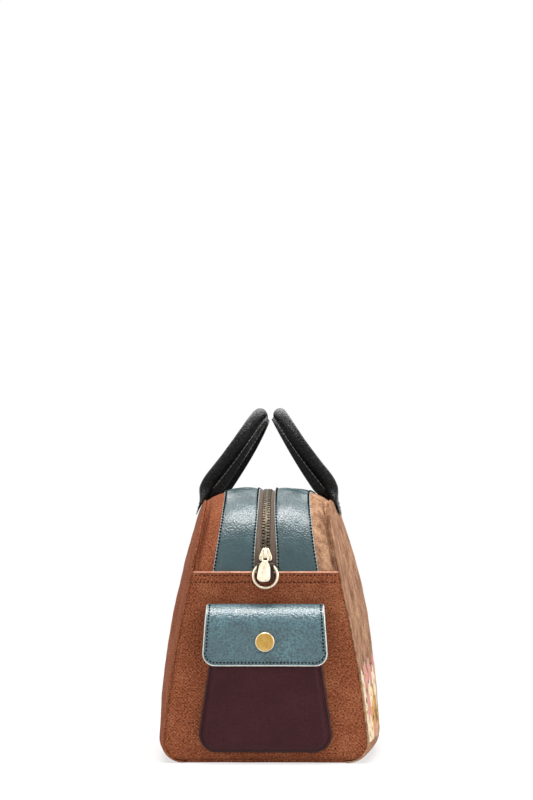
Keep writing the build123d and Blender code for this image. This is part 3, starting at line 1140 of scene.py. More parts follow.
@dataclass
class FacePanel:
    """Bowed canvas panel with a turned seam edge and a roll under the bag.

    Attributes:
        side: Face of the bag.
        form: Shape of the bag.
        columns: Points along the bag.
        rows: Points down the panel.
        lip: Radius of the turned edge.
        tuck: Depth of the turned edge inside the seam.
    """

    side: Side
    form: BagForm
    columns: int = 190
    rows: int = 120
    lip: float = 0.75
    tuck: float = 3.4

    @property
    def seed(self) -> int:
        """Number that fixes this panel's wrinkles."""
        return 11 if self.side is Side.FRONT else 23

    def edge_gap(self, y: Array, z: Array) -> Array:
        """Distance from the panel's seam, roughly."""
        table = np.linspace(-self.form.length / 2, self.form.length / 2, 301)
        tops = self.form.panel_top(table)
        slopes = np.clip(np.gradient(tops, table), -6, 6)
        top = np.interp(y, table, tops)
        slope = np.interp(y, table, slopes)
        return np.minimum((top - z) / np.sqrt(1 + slope**2), self.form.length / 2 - np.abs(y))

    def relief(self, y: Array, z: Array) -> Array:
        """Height of the cloth above its plain curve.

        Args:
            y: Places along the bag.
            z: Heights.

        Returns:
            Heights in millimetres.
        """
        gap = np.maximum(self.edge_gap(y, z), 0)
        pull = -0.5 * np.exp(-((gap / 4.0) ** 2))
        pucker = 0.22 * np.exp(-gap / 9.0) * np.sin(
            2 * math.pi * (y - np.sign(y) * z) / 8.6 + waver(y, z, 60, self.seed)
        )
        soft = 1.0 * waver(y, z, 120, self.seed + 1) + 0.3 * waver(y, z, 34, self.seed + 2) - 0.9
        return pull + pucker + soft * ease(gap, 0, 26) * ease(z, 4, 24)

    def surface(self, y: Array, z: Array, lift: float = 0.0) -> tuple[Array, Array]:
        """Places and outward directions on the panel above its lower roll.

        Args:
            y: Places along the bag.
            z: Heights.
            lift: Height above the cloth.

        Returns:
            Places and unit directions.
        """
        small = 0.5
        along = (self.form.side(y + small, z) - self.form.side(y - small, z)) / (2 * small)
        up = (self.form.side(y, z + small) - self.form.side(y, z - small)) / (2 * small)
        face = unit(np.stack([np.ones_like(along), -along, -up], axis=-1))
        place = np.stack(
            [self.form.side(y, z), y, z], axis=-1
        ) + face * (self.relief(y, z) + lift)[..., None]
        sign = np.array([self.side.value, 1, 1])
        return place * sign, face * sign

    def lip_rows(self) -> list[Array]:
        """Turned edge round the top and ends, from inside the seam out to the face.

        Returns:
            Rows of points, the innermost first.
        """
        y = self.along()
        top = self.form.panel_top(y)
        x = self.form.side(y, top)
        reach = np.clip(np.abs(y) - (self.form.length / 2 - self.form.corner), 0, self.form.corner)
        lean = np.sqrt(self.form.corner**2 - reach**2) / self.form.corner
        out = np.stack([0 * y, np.sign(y) * reach / self.form.corner, lean], axis=1)
        inward = np.array([-1.0, 0, 0])
        edge = np.stack([x, y, top], axis=1)
        rows = [edge + inward * 2 * self.lip - out * self.tuck]
        for turn in np.radians([90, 60, 30, 0]):
            rows.append(
                edge + inward * self.lip * (1 + math.sin(turn)) - out * self.lip * (1 - math.cos(turn))
            )
        for turn in np.radians([60, 30]):
            rows.append(
                edge + inward * self.lip * (1 - math.cos(turn)) - out * self.lip * (1 - math.sin(turn))
            )
        return rows

    def along(self) -> Array:
        """Places of the columns, closer together near the ends."""
        share = np.linspace(-1, 1, self.columns)
        spread = np.sin(share * math.pi / 2 * 0.94) / math.sin(math.pi / 2 * 0.94)
        return (self.form.length / 2 - self.lip) * spread

    def body_rows(self) -> Array:
        """Face of the panel from its upper edge to the base seam.

        Returns:
            Rows by columns of places.
        """
        made = []
        for y in self.along():
            top = float(self.form.panel_top(np.array([y]))[0])
            side_z = np.linspace(top - self.lip, self.form.roll, 110)
            flat = np.full_like(side_z, y)
            skin, _ = self.surface(flat, side_z)
            skin = skin * np.array([self.side.value, 1, 1])
            middle = skin[-1, 0] - self.form.roll
            turn = np.linspace(0, math.pi / 2, 24)[1:]
            under_x = middle + self.form.roll * np.cos(turn)
            under_z = self.form.roll * (1 - np.sin(turn))
            roll = np.stack([under_x, np.full_like(under_x, skin[-1, 1]), under_z], axis=1)
            seam = np.array([[self.form.base_seam, skin[-1, 1], 0.0]])
            line = np.concatenate([skin, roll, seam])
            run = steps(line)
            places = run[-1] * np.linspace(0, 1, self.rows) ** 1.04
            made.append(np.stack([np.interp(places, run, line[:, axis]) for axis in range(3)], axis=1))
        return np.stack(made, axis=1)

    def with_end_lips(self, points: Array) -> Array:
        """Add a turned edge down each end of the panel.

        Args:
            points: Rows by columns of the panel's places.

        Returns:
            The grid with more columns at both ends.
        """
        face = faces_of(points, np.array([1.0, 0, -0.6]))
        turned = len(points) - self.rows
        sides = []
        for column, sign in ((0, -1), (-1, 1)):
            edge = points[:, column]
            inward = -face[:, column] * np.array([1, 0, 1])
            inward[:turned] = inward[turned]
            inward = unit(inward)
            out = np.array([0.0, sign, 0])
            turns = np.radians([30, 60, 90, 120, 150, 180])
            rows = [
                edge + inward * self.lip * (
                    1 - math.cos(turn)
                ) + out * self.lip * math.sin(turn) for turn in turns
            ]
            rows.append(edge + inward * 2 * self.lip - out * self.tuck)
            sides.append(np.stack(rows, axis=1))
        return np.concatenate([sides[0][:, ::-1], points, sides[1]], axis=1)

    def build(self, finish: bpy.types.Material, node: str, slot: str) -> bpy.types.Object:
        """Make the panel.

        Args:
            finish: Canvas material.
            node: Solid that the panel stands for.
            slot: Finish slot, passed on to belongs.

        Returns:
            The panel.
        """
        points = self.with_end_lips(np.concatenate([np.stack(self.lip_rows()), self.body_rows()]))
        points = points * np.array([self.side.value, 1, 1])
        piece = sew(f"{node}_cloth", [Patch.from_points(points)], [finish])
        belongs(piece, "bag", slot, node)
        # The solid's middle skin is 300 mm by 218 mm; 6 mm is turned under on each side.
        log.info("%s: bowed canvas panel with turned edges", piece.name)
        return piece


@dataclass
class EndGusset:
    """Canvas end of the bag, sewn between the panels and hemmed along its top.

    Attributes:
        end: End of the bag.
        form: Shape of the bag.
        seam_gap: Distance of the cloth's edge from the panels' skin.
        hem_rows: Distances of the hem's stitch rows from its edge.
        hem_hollow: How far the cloth falls back under the hem.
    """

    end: End
    form: BagForm
    seam_gap: float = 0.6
    hem_rows: tuple[float, float] = (3.2, 9.0)
    hem_hollow: float = 5.0

    def skin(self, x: Array, z: Array) -> Array:
        """Depth of the gusset's plain face behind the end plane."""
        level = self.form.hem - self.form.drop(x)
        rise = np.clip(z - level, 0, self.form.corner)
        return self.form.corner - np.sqrt(self.form.corner**2 - rise**2)

    def relief(self, x: Array, z: Array) -> Array:
        """Height of the cloth above its plain face.

        Args:
            x: Places across.
            z: Heights.

        Returns:
            Heights in millimetres.
        """
        seed = 37 if self.end is End.NEAR else 53
        wide = self.form.half(
            0 * z - self.form.length / 2, z, self.form.wall
        ) - self.seam_gap + self.form.wall
        gap = np.maximum(np.minimum(wide - np.abs(x), z - self.form.wall), 0)
        pull = -1.5 * np.exp(-((gap / 3.0) ** 2))
        pucker = 0.38 * np.exp(-gap / 8.0) * np.sin(
            2 * math.pi * z / 8.2 + 2 * np.sign(x) + waver(x, z, 50, seed)
        )
        soft = 0.7 * waver(x, z, 90, seed + 1) + 0.25 * waver(x, z, 26, seed + 2)
        below = self.form.hem - z
        groove = sum(-0.3 * np.exp(-(((below - row) / 0.8) ** 2)) for row in self.hem_rows)
        tack = 0.12 * np.sin(2 * math.pi * x / 4.3) * np.exp(-(((below - 6.1) / 4.5) ** 2))
        hollow = -self.hem_hollow * np.exp(-(((below - 21) / 9.0) ** 2)) * ease(gap, 2, 24)
        return pull + pucker + 0.6 * soft * ease(gap, 0, 20) + groove + tack + hollow

    def point(self, x: Array, z: Array, lift: Array | float = 0.0) -> Array:
        """Places on the gusset's face.

        Args:
            x: Places across.
            z: Heights.
            lift: Height above the cloth.

        Returns:
            Places in the shared frame.
        """
        out = self.relief(x, z) - self.skin(x, z) + lift
        return np.stack([x, self.end.value * (self.form.length / 2 + out), z + 0 * x], axis=-1)

    def build(
        self, finish: bpy.types.Material, rubbed: bpy.types.Material, thread: bpy.types.Material, node: str
    ) -> list[bpy.types.Object]:
        """Make the gusset and its hem stitches.

        Args:
            finish: Canvas material.
            rubbed: Canvas material of the folded edge, made paler as a painted highlight.
            thread: Thread material.
            node: Solid that the gusset stands for.

        Returns:
            The cloth and its stitches.
        """
        lip = 1.2
        levels = np.concatenate(
            [
                np.linspace(self.form.wall, self.form.roll, 16)[:-1],
                np.linspace(self.form.roll, self.form.hem - lip, 110),
            ]
        )
        share = np.sin(np.linspace(-1, 1, 110) * math.pi / 2 * 0.9) / math.sin(math.pi / 2 * 0.9)
        y = 0 * levels - self.form.length / 2
        wide = self.form.half(y, levels, self.form.wall) - self.seam_gap + self.form.wall
        x = wide[:, None] * share[None, :]
        z = levels[:, None] + 0 * x
        body = self.point(x, z)
        top = x[-1]
        edge = self.point(top, 0 * top + self.form.hem - lip)
        inward = np.array([0, -self.end.value, 0.0])
        up = np.array([0, 0, 1.0])
        rolled = []
        for turn in np.radians([30, 60, 90, 120, 150, 180]):
            rolled.append(edge + up * lip * math.sin(turn) + inward * lip * (1 - math.cos(turn)))
        rolled.append(edge + inward * 2 * lip - up * 3 * lip)
        turned = np.concatenate([body[-1:], np.stack(rolled)])
        # The rolled hem edge wears the paler canvas, a painted highlight along the fold.
        piece = sew(
            f"{node}_cloth",
            [Patch.from_points(body), Patch.from_points(turned, finish=1)],
            [finish, rubbed],
        )
        belongs(piece, "bag", "rust_canvas", node)
        # The solid's middle skin is 23 293 square millimetres; 7.4 mm is turned in along the hem.
        patches: list[Patch] = []
        for row in self.hem_rows:
            line_x = np.linspace(-1, 1, 160) * (wide[-1] - 2)
            line = self.point(line_x, 0 * line_x + self.form.hem - row, 0.12)
            face = np.tile(np.array([0, self.end.value, 0.0]), (len(line), 1))
            patches += stitches(line, face, pitch=3.4, radius=0.55)
        sewn = sew(f"{node}_hem_stitches", patches, [thread])
        belongs(sewn, "bag", "rust_canvas")
        log.info("%s: end gusset with a stitched hem", piece.name)
        return [piece, sewn]


@dataclass
class BasePanel:
    """Canvas base sewn between the panels, with a stiff board inside.

    Attributes:
        form: Shape of the bag.
    """

    form: BagForm

    def build(self, finish: bpy.types.Material, thread: bpy.types.Material) -> bpy.types.Object:
        """Make the base cloth and its seam stitches.

        Args:
            finish: Canvas material.
            thread: Thread material.

        Returns:
            The base cloth.
        """
        half = self.form.base_seam
        length = self.form.length / 2
        across = np.concatenate([[-half], np.linspace(-half, half, 60), [half]])
        rise = np.concatenate([[1.6], 0.2 * np.ones(60), [1.6]])
        along = np.concatenate(
            [[-length + 1.0], np.linspace(-length + 1.0, length - 1.0, 120), [length - 1.0]]
        )
        turned = np.concatenate([[2.2], np.zeros(120), [2.2]])
        x, y = np.meshgrid(across, along)
        z = np.maximum(rise[None, :], turned[:, None]) + 0.12 + 0.1 * waver(x, y, 40, 71)
        piece = sew(
            "base_panel_cloth",
            [Patch.from_points(np.stack([x, y, np.maximum(z, 0.05)], axis=-1))],
            [finish],
        )
        belongs(piece, "bag", "rust_canvas", "base_panel")
        # The solid is 134 mm by 300 mm; about 2 mm is turned up on each side.
        patches: list[Patch] = []
        for place in (-half + 3.0, half - 3.0):
            line = np.stack(
                [np.full(200, place), np.linspace(-length + 4, length - 4, 200), np.full(200, 0.35)], axis=1
            )
            patches += stitches(line, np.tile([0, 0, -1.0], (200, 1)), pitch=5.0, radius=0.3)
        sewn = sew("base_panel_stitches", patches, [thread])
        belongs(sewn, "bag", "rust_canvas")
        log.info("%s: base cloth with two seams", piece.name)
        return piece


@dataclass
class ZipGusset:
    """Arched top of the bag: leather facings, canvas bands outside them and the zip's tapes.

    Attributes:
        arch: Middle line of the top.
        facing_share: Part of the half depth that a facing takes.
        hem_channel: Half width of the open zip channel at the hems.
        top_channel: Half width of the open zip channel on top.
        facing_depth: Depth of the facings below the skin.
        facing_wall: Thickness of the facings.
        band_depth: Depth of the bands below the skin.
        tape_depth: Depth of the tapes below the skin.
        chain_half: Half width of the zip's teeth.
        stitch_inset: Distance of the stitch rows from the facings' edges.
    """

    arch: ArchLine
    facing_share: float = 0.71
    hem_channel: float = 9.2
    top_channel: float = 6.6
    facing_depth: float = 2.2
    facing_wall: float = 1.4
    band_depth: float = 3.0
    tape_depth: float = 3.9
    chain_half: float = 3.0
    stitch_inset: float = 1.25

    def channel(self) -> Array:
        """Half width of the zip channel at each station."""
        _, facing, _ = self.arch.stations()
        return self.hem_channel + (self.top_channel - self.hem_channel) * ease(facing[:, 1], 0.1, 0.85)

    def facing_edge(self) -> Array:
        """Distance of the facings' outer edge from mid-width at each station."""
        return self.facing_share * self.arch.reach(self.facing_depth) - self.arch.form.wall

    def strip(
        self,
        inner: Array,
        outer: Array,
        depth: float,
        wall: float,
        relief: Callable[[Array, Array, Array], Array],
        side: Side,
    ) -> Patch:
        """Strip of cloth along the arch with turned-down edges.

        Args:
            inner: Distance of its inner edge at each station.
            outer: Distance of its outer edge at each station.
            depth: Depth below the skin.
            wall: Thickness of the strip.
            relief: Height from the run, the distance across and the distance to the nearer edge.
            side: Face of the bag that the strip is on.

        Returns:
            The strip.
        """
        _, _, run = self.arch.stations()
        wide = (outer - inner)[:, None]
        start = np.array([0.0, 0.0, 0.2, 0.7])
        inside = np.linspace(0, 1, 30)[1:-1]
        across = np.concatenate(
            [
                np.repeat(start[None, :], len(run), axis=0),
                0.7 + (wide - 1.4) * inside[None, :],
                wide - start[None, ::-1],
            ],
            axis=1,
        )
        sunk = np.array([wall, 0.55 * wall, 0.18 * wall, 0.0])
        down = np.concatenate([sunk, np.zeros(len(inside)), sunk[::-1]])
        gap = np.minimum(across, wide - across)
        height = relief(run[:, None] + 0 * across, across, gap)
        points = self.arch.point(inner[:, None] + across, depth + down[None, :] - height)
        return Patch.from_points(points * np.array([side.value, 1, 1]))

    def hide(self, seed: int, side: Side) -> Callable[[Array, Array, Array], Array]:
        """Unevenness of a sewn leather facing.

        Args:
            seed: Number that fixes the pattern.
            side: Face of the bag.

        Returns:
            Function that gives heights in millimetres.
        """

        def relief(run: Array, across: Array, gap: Array) -> Array:
            """Stitch groove, soft swell and creases of the leather."""
            groove = -0.3 * np.exp(-(((gap - self.stitch_inset) / 0.7) ** 2))
            swell = 0.35 * ease(gap, self.stitch_inset, 9.0)
            tack = 0.1 * np.sin(2 * math.pi * run / 4.2) * np.exp(-(((gap - self.stitch_inset) / 1.6) ** 2))
            soft = 0.3 * waver(run, across, 42, seed) + 0.14 * waver(run, across, 15, seed + 1)
            crease = 0.0
            for place, slant, size in ((96.0, 0.35, 1.1), (104.0, -0.3, 0.7)):
                at = run - place - slant * across if side is Side.BACK else run - place - 8 + slant * across
                crease = crease - size * np.exp(-((at / 2.2) ** 2))
                crease = crease + 0.6 * size * np.exp(-(((at - 5) / 4.0) ** 2))
            return groove + swell + tack + (soft + crease) * ease(gap, 0.2, 5.0)

        return relief

    def cloth(self, seed: int, fold: float = 0.0) -> Callable[[Array, Array, Array], Array]:
        """Unevenness of a canvas band or tape.

        Args:
            seed: Number that fixes the pattern.
            fold: Depth of the fold beside the panel at each end.

        Returns:
            Function that gives heights in millimetres.
        """

        def relief(run: Array, across: Array, gap: Array) -> Array:
            """Soft waves that flatten towards the seams."""
            ends = np.minimum(run, self.arch.stations()[2][-1] - self.arch.tuck - run)
            near_end = np.exp(-(((ends - 54) / 30) ** 2))
            near_seam = np.exp(-(((gap - 3.2) / 1.7) ** 2))
            pinch = -fold * (across > gap) * near_end * near_seam
            waves = 0.3 * waver(run, across, 30, seed) * ease(gap, 0.5, 6.0)
            return pinch + waves - 0.5 * np.exp(-((gap / 2.0) ** 2))

        return relief

    def stitch_rows(self, side: Side) -> list[Patch]:
        """Stitch rows along both edges of a facing.

        Args:
            side: Face of the bag.

        Returns:
            Stitches.
        """
        place, facing, run = self.arch.stations()
        kept = (run > 0.5) & (run < run[-1] - self.arch.tuck - 0.5)
        made: list[Patch] = []
        for edge in (self.channel() + self.stitch_inset, self.facing_edge() - self.stitch_inset):
            line = self.arch.point(edge[:, None], 0 * edge[:, None] + self.facing_depth + 0.12)[:, 0]
            face = np.stack([0 * run, facing[:, 0], facing[:, 1]], axis=1)
            made += stitches(line[kept] * np.array([side.value, 1, 1]), face[kept], pitch=3.0, radius=0.85)
        return made

    def build(self, finishes: Finishes) -> list[bpy.types.Object]:
        """Make the facings, bands and tapes.

        Args:
            finishes: The bag's finishes.

        Returns:
            The pieces.
        """
        made = []
        edge = self.facing_edge()
        channel = self.channel()
        rim = self.arch.reach(self.band_depth) - self.arch.form.wall - 0.2
        for side in Side:
            word = side.name.lower()
            band_finish = finishes.band_canvas if side is Side.FRONT else finishes.rust_canvas
            band_slot = "tan_canvas" if side is Side.FRONT else "rust_canvas"
            fold = 9.0 if side is Side.FRONT else 6.0
            plans = (
                (
                    "facing",
                    channel,
                    edge,
                    self.facing_depth,
                    self.facing_wall,
                    self.hide(81 + side.value, side),
                    finishes.teal_leather,
                    "teal_leather",
                ),
                (
                    "band",
                    edge - 3.0,
                    rim,
                    self.band_depth,
                    1.2,
                    self.cloth(85 + side.value, fold),
                    band_finish,
                    band_slot,
                ),
                (
                    "zip_tape",
                    0 * channel + self.chain_half,
                    channel + 4.0,
                    self.tape_depth,
                    0.7,
                    self.cloth(91 + side.value),
                    finishes.zip_tape,
                    "zip_tape",
                ),
            )
            for name, inner, outer, depth, wall, relief, finish, slot in plans:
                node = f"{word}_{name}"
                patch = self.strip(inner, outer, depth, wall, relief, side)
                if name == "facing":
                    cuts = ((slice(None, 4), 1), (slice(3, -3), 0), (slice(-4, None), 1))
                    patches = [Patch.from_points(patch.points[:, cut], finish=pick) for cut, pick in cuts]
                else:
                    patches = [patch]
                piece = sew(f"{node}_strip", patches, [finish, finishes.grey_edge])
                belongs(piece, "bag", slot, node)
                made.append(piece)
                log.info("%s: strip along the arched top", piece.name)
            sewn = sew(f"{word}_facing_stitches", self.stitch_rows(side), [finishes.dark_thread])
            belongs(sewn, "bag", "teal_leather")
            made.append(sewn)
        return made


# Pocket on the near end


@dataclass
class EndPocket:
    """Plum leather pouch with a piped seam and a teal flap over its mouth.

    Attributes:
        form: Shape of the bag.
        bottom: Height of the pouch's lower edge.
        mouth: Height of its mouth.
        mouth_half: Half width at the mouth.
        foot_half: Half width at the bottom, before its corners.
        corner: Radius of the lower corners.
        depth: How far the pouch stands out.
        shoulder: Width of its rounded side.
        wall: Thickness of the leather.
        piping: Radius of the piping.
        hinge: Height of the flap's sewn edge.
        hinge_out: Distance of that edge's middle from the end plane.
        flap_bottom: Height of the flap's lower edge.
        flap_halves: Half widths of the flap at its top and bottom.
        flap_corner: Radius of the flap's lower corners.
        flap_wall: Thickness of the flap.
        bend: Radius of the flap's bend.
        bend_start: Degrees that the flap falls at its sewn edge.
        snap: Height of the snap's middle.
    """

    form: BagForm
    bottom: float = 10.0
    mouth: float = 116.0
    mouth_half: float = 40.0
    foot_half: float = 55.8
    corner: float = 14.0
    depth: float = 11.0
    shoulder: float = 5.5
    wall: float = 1.5
    piping: float = 1.3
    hinge: float = 131.0
    hinge_out: float = 1.4
    flap_bottom: float = 82.0
    flap_halves: tuple[float, float] = (47.8, 51.3)
    flap_corner: float = 10.0
    flap_wall: float = 2.2
    bend: float = 21.12
    bend_start: float = 20.0
    snap: float = 101.0

    def half(self, z: Array) -> Array:
        """Half width of the pouch at heights.

        Args:
            z: Heights.

        Returns:
            Half widths.
        """
        slope = (self.foot_half - self.mouth_half) / (self.mouth - self.bottom)
        plain = self.foot_half - (z - self.bottom) * slope
        rise = np.clip(self.corner - (z - self.bottom), 0, self.corner)
        return plain - self.corner + np.sqrt(self.corner**2 - rise**2)

    def out(self, x: Array, z: Array) -> Array:
        """Distance of the pouch's skin from the end plane.

        Args:
            x: Places across.
            z: Heights.

        Returns:
            Distances.
        """
        gap = np.maximum(np.minimum(self.half(z) - np.abs(x), (z - self.bottom)), 0)
        corner_x = self.half(0 * z + self.bottom + self.corner) - self.corner
        low = np.maximum(self.bottom + self.corner - z, 0)
        wide = np.maximum(np.abs(x) - corner_x, 0)
        nook = np.where((low > 0) & (wide > 0), self.corner - np.hypot(low, wide), gap)
        gap = np.maximum(np.minimum(gap, nook), 0)
        share = np.clip(gap / self.shoulder, 0, 1)
        rise = np.sqrt(np.maximum(1 - (1 - share) ** 2, 0))
        crown = 0.7 * (1 - (x / self.foot_half) ** 2) * ease(gap, 2, 20)
        soft = 0.45 * waver(x, z, 40, 131) * ease(gap, 3, 14)
        return (self.depth - 0.6) * rise + crown + soft

    def pouch(self, finishes: Finishes) -> bpy.types.Object:
        """Make the pouch and its piping.

        Args:
            finishes: The bag's finishes.

        Returns:
            The pouch.
        """
        fine = np.array([0.0, 0.06, 0.22, 0.5, 0.9, 1.4, 2.0, 2.7, 3.5, 4.5, 5.6])
        levels = np.concatenate([self.bottom + fine, np.linspace(self.bottom + 7, self.mouth, 70)])
        share = np.linspace(-1, 1, 74)[1:-1]
        half = self.half(levels)[:, None]
        left = -half + fine[None, :]
        inner = (half - 6.2) * share[None, :]
        x = np.concatenate([left, inner, -left[:, ::-1]], axis=1)
        z = levels[:, None] + 0 * x
        y = -(self.form.length / 2 + self.out(x, z))
        piece = sew(
            "pocket_pouch", [Patch.from_points(np.stack([x, y, z], axis=-1))], [finishes.plum_leather]
        )
        thicken(piece, self.wall, -1.0 if self.turned(piece) else 1.0)
        belongs(piece, "bag", "plum_leather", "pocket_front")
        line = self.seam_line()
        soft = 0.12 * waver(steps(line), 0 * line[:, 0], 14, 137)
        piped = sew("pocket_piping_cord", [tube(line, self.piping + soft, 12)], [finishes.piping_leather])
        belongs(piped, "bag", "plum_leather", "pocket_piping")
        log.info("%s: pouch with an open mouth and piping", piece.name)
        return piece

    @staticmethod
    def turned(piece: bpy.types.Object) -> bool:
        """True where the sheet's faces look out from the near end."""
        return sum(face.normal.y * face.area for face in piece.data.polygons) < 0

    def seam_line(self) -> Array:
        """Line of the piping round the pouch.

        Returns:
            Points from one end of the mouth round the bottom to the other.
        """
        levels = np.linspace(self.mouth - 1, self.bottom + self.corner, 60)
        turn = np.linspace(0, math.pi / 2, 24)[1:]
        middle = float(self.half(np.array([self.bottom + self.corner]))[0]) - self.corner
        x = np.concatenate([self.half(levels), middle + self.corner * np.cos(turn)]) + 0.4
        z = np.concatenate([levels, self.bottom + self.corner - self.corner * np.sin(turn)])
        right = np.stack([x, np.full_like(x, -self.form.length / 2 - 1.2), z], axis=1)
        left = right[::-1] * np.array([-1, 1, 1])
        return evenly(np.concatenate([right, left]), 2.0)

    def flap_line(self) -> tuple[Array, Array]:
        """Middle line of the flap's side view.

        Returns:
            Distances out from the end plane and heights, from the sewn edge down.
        """
        start = math.radians(90 - self.bend_start)
        middle_out = self.hinge_out - self.bend * math.cos(start)
        middle_z = self.hinge - self.bend * math.sin(start)
        turn = np.linspace(start, 0, 30)
        out = middle_out + self.bend * np.cos(turn)
        z = middle_z + self.bend * np.sin(turn)
        fall = np.linspace(middle_z, self.flap_bottom, 34)[1:]
        return np.concatenate([out, np.full(33, out[-1])]), np.concatenate([z, fall])

    def flap_half(self, z: Array) -> Array:
        """Half width of the flap at heights, with rounded lower corners."""
        share = (self.hinge - z) / (self.hinge - self.flap_bottom)
        plain = self.flap_halves[0] + (self.flap_halves[1] - self.flap_halves[0]) * share
        low = np.clip(self.flap_corner - (z - self.flap_bottom), 0, self.flap_corner)
        return plain - self.flap_corner + np.sqrt(self.flap_corner**2 - low**2)

    def flap_grid(self, share: Array, lift: float) -> Array:
        """Places on the flap.

        Args:
            share: Places across from -1 to 1, or rows of them.
            lift: Height above the flap's middle.

        Returns:
            Rows by columns of places.
        """
        out, z = self.flap_line()
        fine = np.concatenate([np.linspace(0, 0.82, 70), 0.82 + 0.18 * np.linspace(0, 1, 34)[1:] ** 0.7])
        run = steps(np.stack([out, z], axis=1))
        places = fine * run[-1]
        out = np.interp(places, run, out)
        z = np.interp(places, run, z)
        half = self.flap_half(z)
        x = half[:, None] * share[None, :]
        slope = np.gradient(out) / np.maximum(np.hypot(np.gradient(out), np.gradient(z)), 1e-6)
        level = np.gradient(z) / np.maximum(np.hypot(np.gradient(out), np.gradient(z)), 1e-6)
        free = ease(places, 4, run[-1])[:, None]
        wave = free * (0.5 * waver(x, places[:, None] + 0 * x, 60, 151) - 0.5 * share[None, :] ** 2)
        from_snap = np.hypot(x, z[:, None] - self.snap)
        wave = wave - 0.7 * np.exp(-(((from_snap - 8.3) / 1.3) ** 2))
        height = lift + wave
        y = -(self.form.length / 2 + out[:, None] - level[:, None] * height)
        return np.stack([x, y, z[:, None] + slope[:, None] * height], axis=-1)

    def flap(self, finishes: Finishes) -> bpy.types.Object:
        """Make the flap with its painted edge and stitches.

        Args:
            finishes: The bag's finishes.

        Returns:
            The flap.
        """
        share = np.sin(np.linspace(-1, 1, 80) * math.pi / 2 * 0.86) / math.sin(math.pi / 2 * 0.86)
        points = self.flap_grid(share, 0.0)
        # The flap wears the lighter teal copy, with painted light in its paler base and painted shade in its
        # pebble valleys.
        piece = sew(
            "pocket_flap_leather", [Patch.from_points(points)], [finishes.flap_lit_leather, finishes.pale_edge]
        )
        thicken(piece, self.flap_wall, 0.0, 1)
        rounded = piece.modifiers.new("edge", "BEVEL")
        rounded.width = 0.5 * MM
        rounded.segments = 3
        rounded.limit_method = "ANGLE"
        rounded.angle_limit = math.radians(50)
        belongs(piece, "pocket_flap", "teal_leather", "pocket_flap")
        top = self.flap_grid(np.linspace(-1, 1, 201), self.flap_wall / 2 + 0.1)
        face = faces_of(top, np.array([0, -1.0, 0.4]))
        inset = 1.9
        line, looks = self.inside_line(top, face, inset)
        rim = self.flap_grid(np.linspace(-1, 1, 61), 0.0)
        bead_line = np.concatenate([rim[2:, 0], rim[-1, 1:-1], rim[:1:-1, -1]])
        bead = sew("pocket_flap_edge_paint", [tube(evenly(bead_line, 1.0), 1.05, 10)], [finishes.pale_edge])
        belongs(bead, "pocket_flap", "teal_leather")
        sewn = sew(
            "pocket_flap_stitches", stitches(line, looks, pitch=2.9, radius=0.72), [finishes.dark_thread]
        )
        belongs(sewn, "pocket_flap", "teal_leather")
        log.info("%s: bent flap with a painted, stitched edge", piece.name)
        return piece

    def inside_line(self, top: Array, face: Array, inset: float) -> tuple[Array, Array]:
        """Line inside the flap's free edge.

        Args:
            top: Grid of the flap's outer face.
            face: Its outward directions.
            inset: Distance from the edge.

        Returns:
            Places and outward directions along the line.
        """
        depth = steps(top[:, top.shape[1] // 2])
        last = depth[-1]
        places = []
        looks = []
        radius = self.flap_corner - inset
        for row in range(3, len(depth)):
            left = last - depth[row]
            if left < inset:
                break
            edge = abs(top[row, 0, 0])
            if left < self.flap_corner:
                level = self.flap_corner - left
                straight = self.flap_halves[1] - self.flap_corner
                reach = straight + math.sqrt(max(radius**2 - level**2, 0))
            else:
                reach = edge - inset
            column = int(round((1 - reach / edge) / 2 * (top.shape[1] - 1)))
            places.append(top[row, column])
            looks.append(face[row, column])
        low = np.argmin(np.abs(last - depth - inset))
        columns = np.arange(top.shape[1])
        kept = columns[np.abs(top[low, :, 0]) < self.flap_halves[1] - self.flap_corner]
        places += list(top[low, kept])
        looks += list(face[low, kept])
        mirror = np.array([-1, 1, 1])
        count = len(places) - len(kept)
        places += [place * mirror for place in places[:count][::-1]]
        looks += [look * mirror for look in looks[:count][::-1]]
        return np.array(places), np.array(looks)


# Strap rings


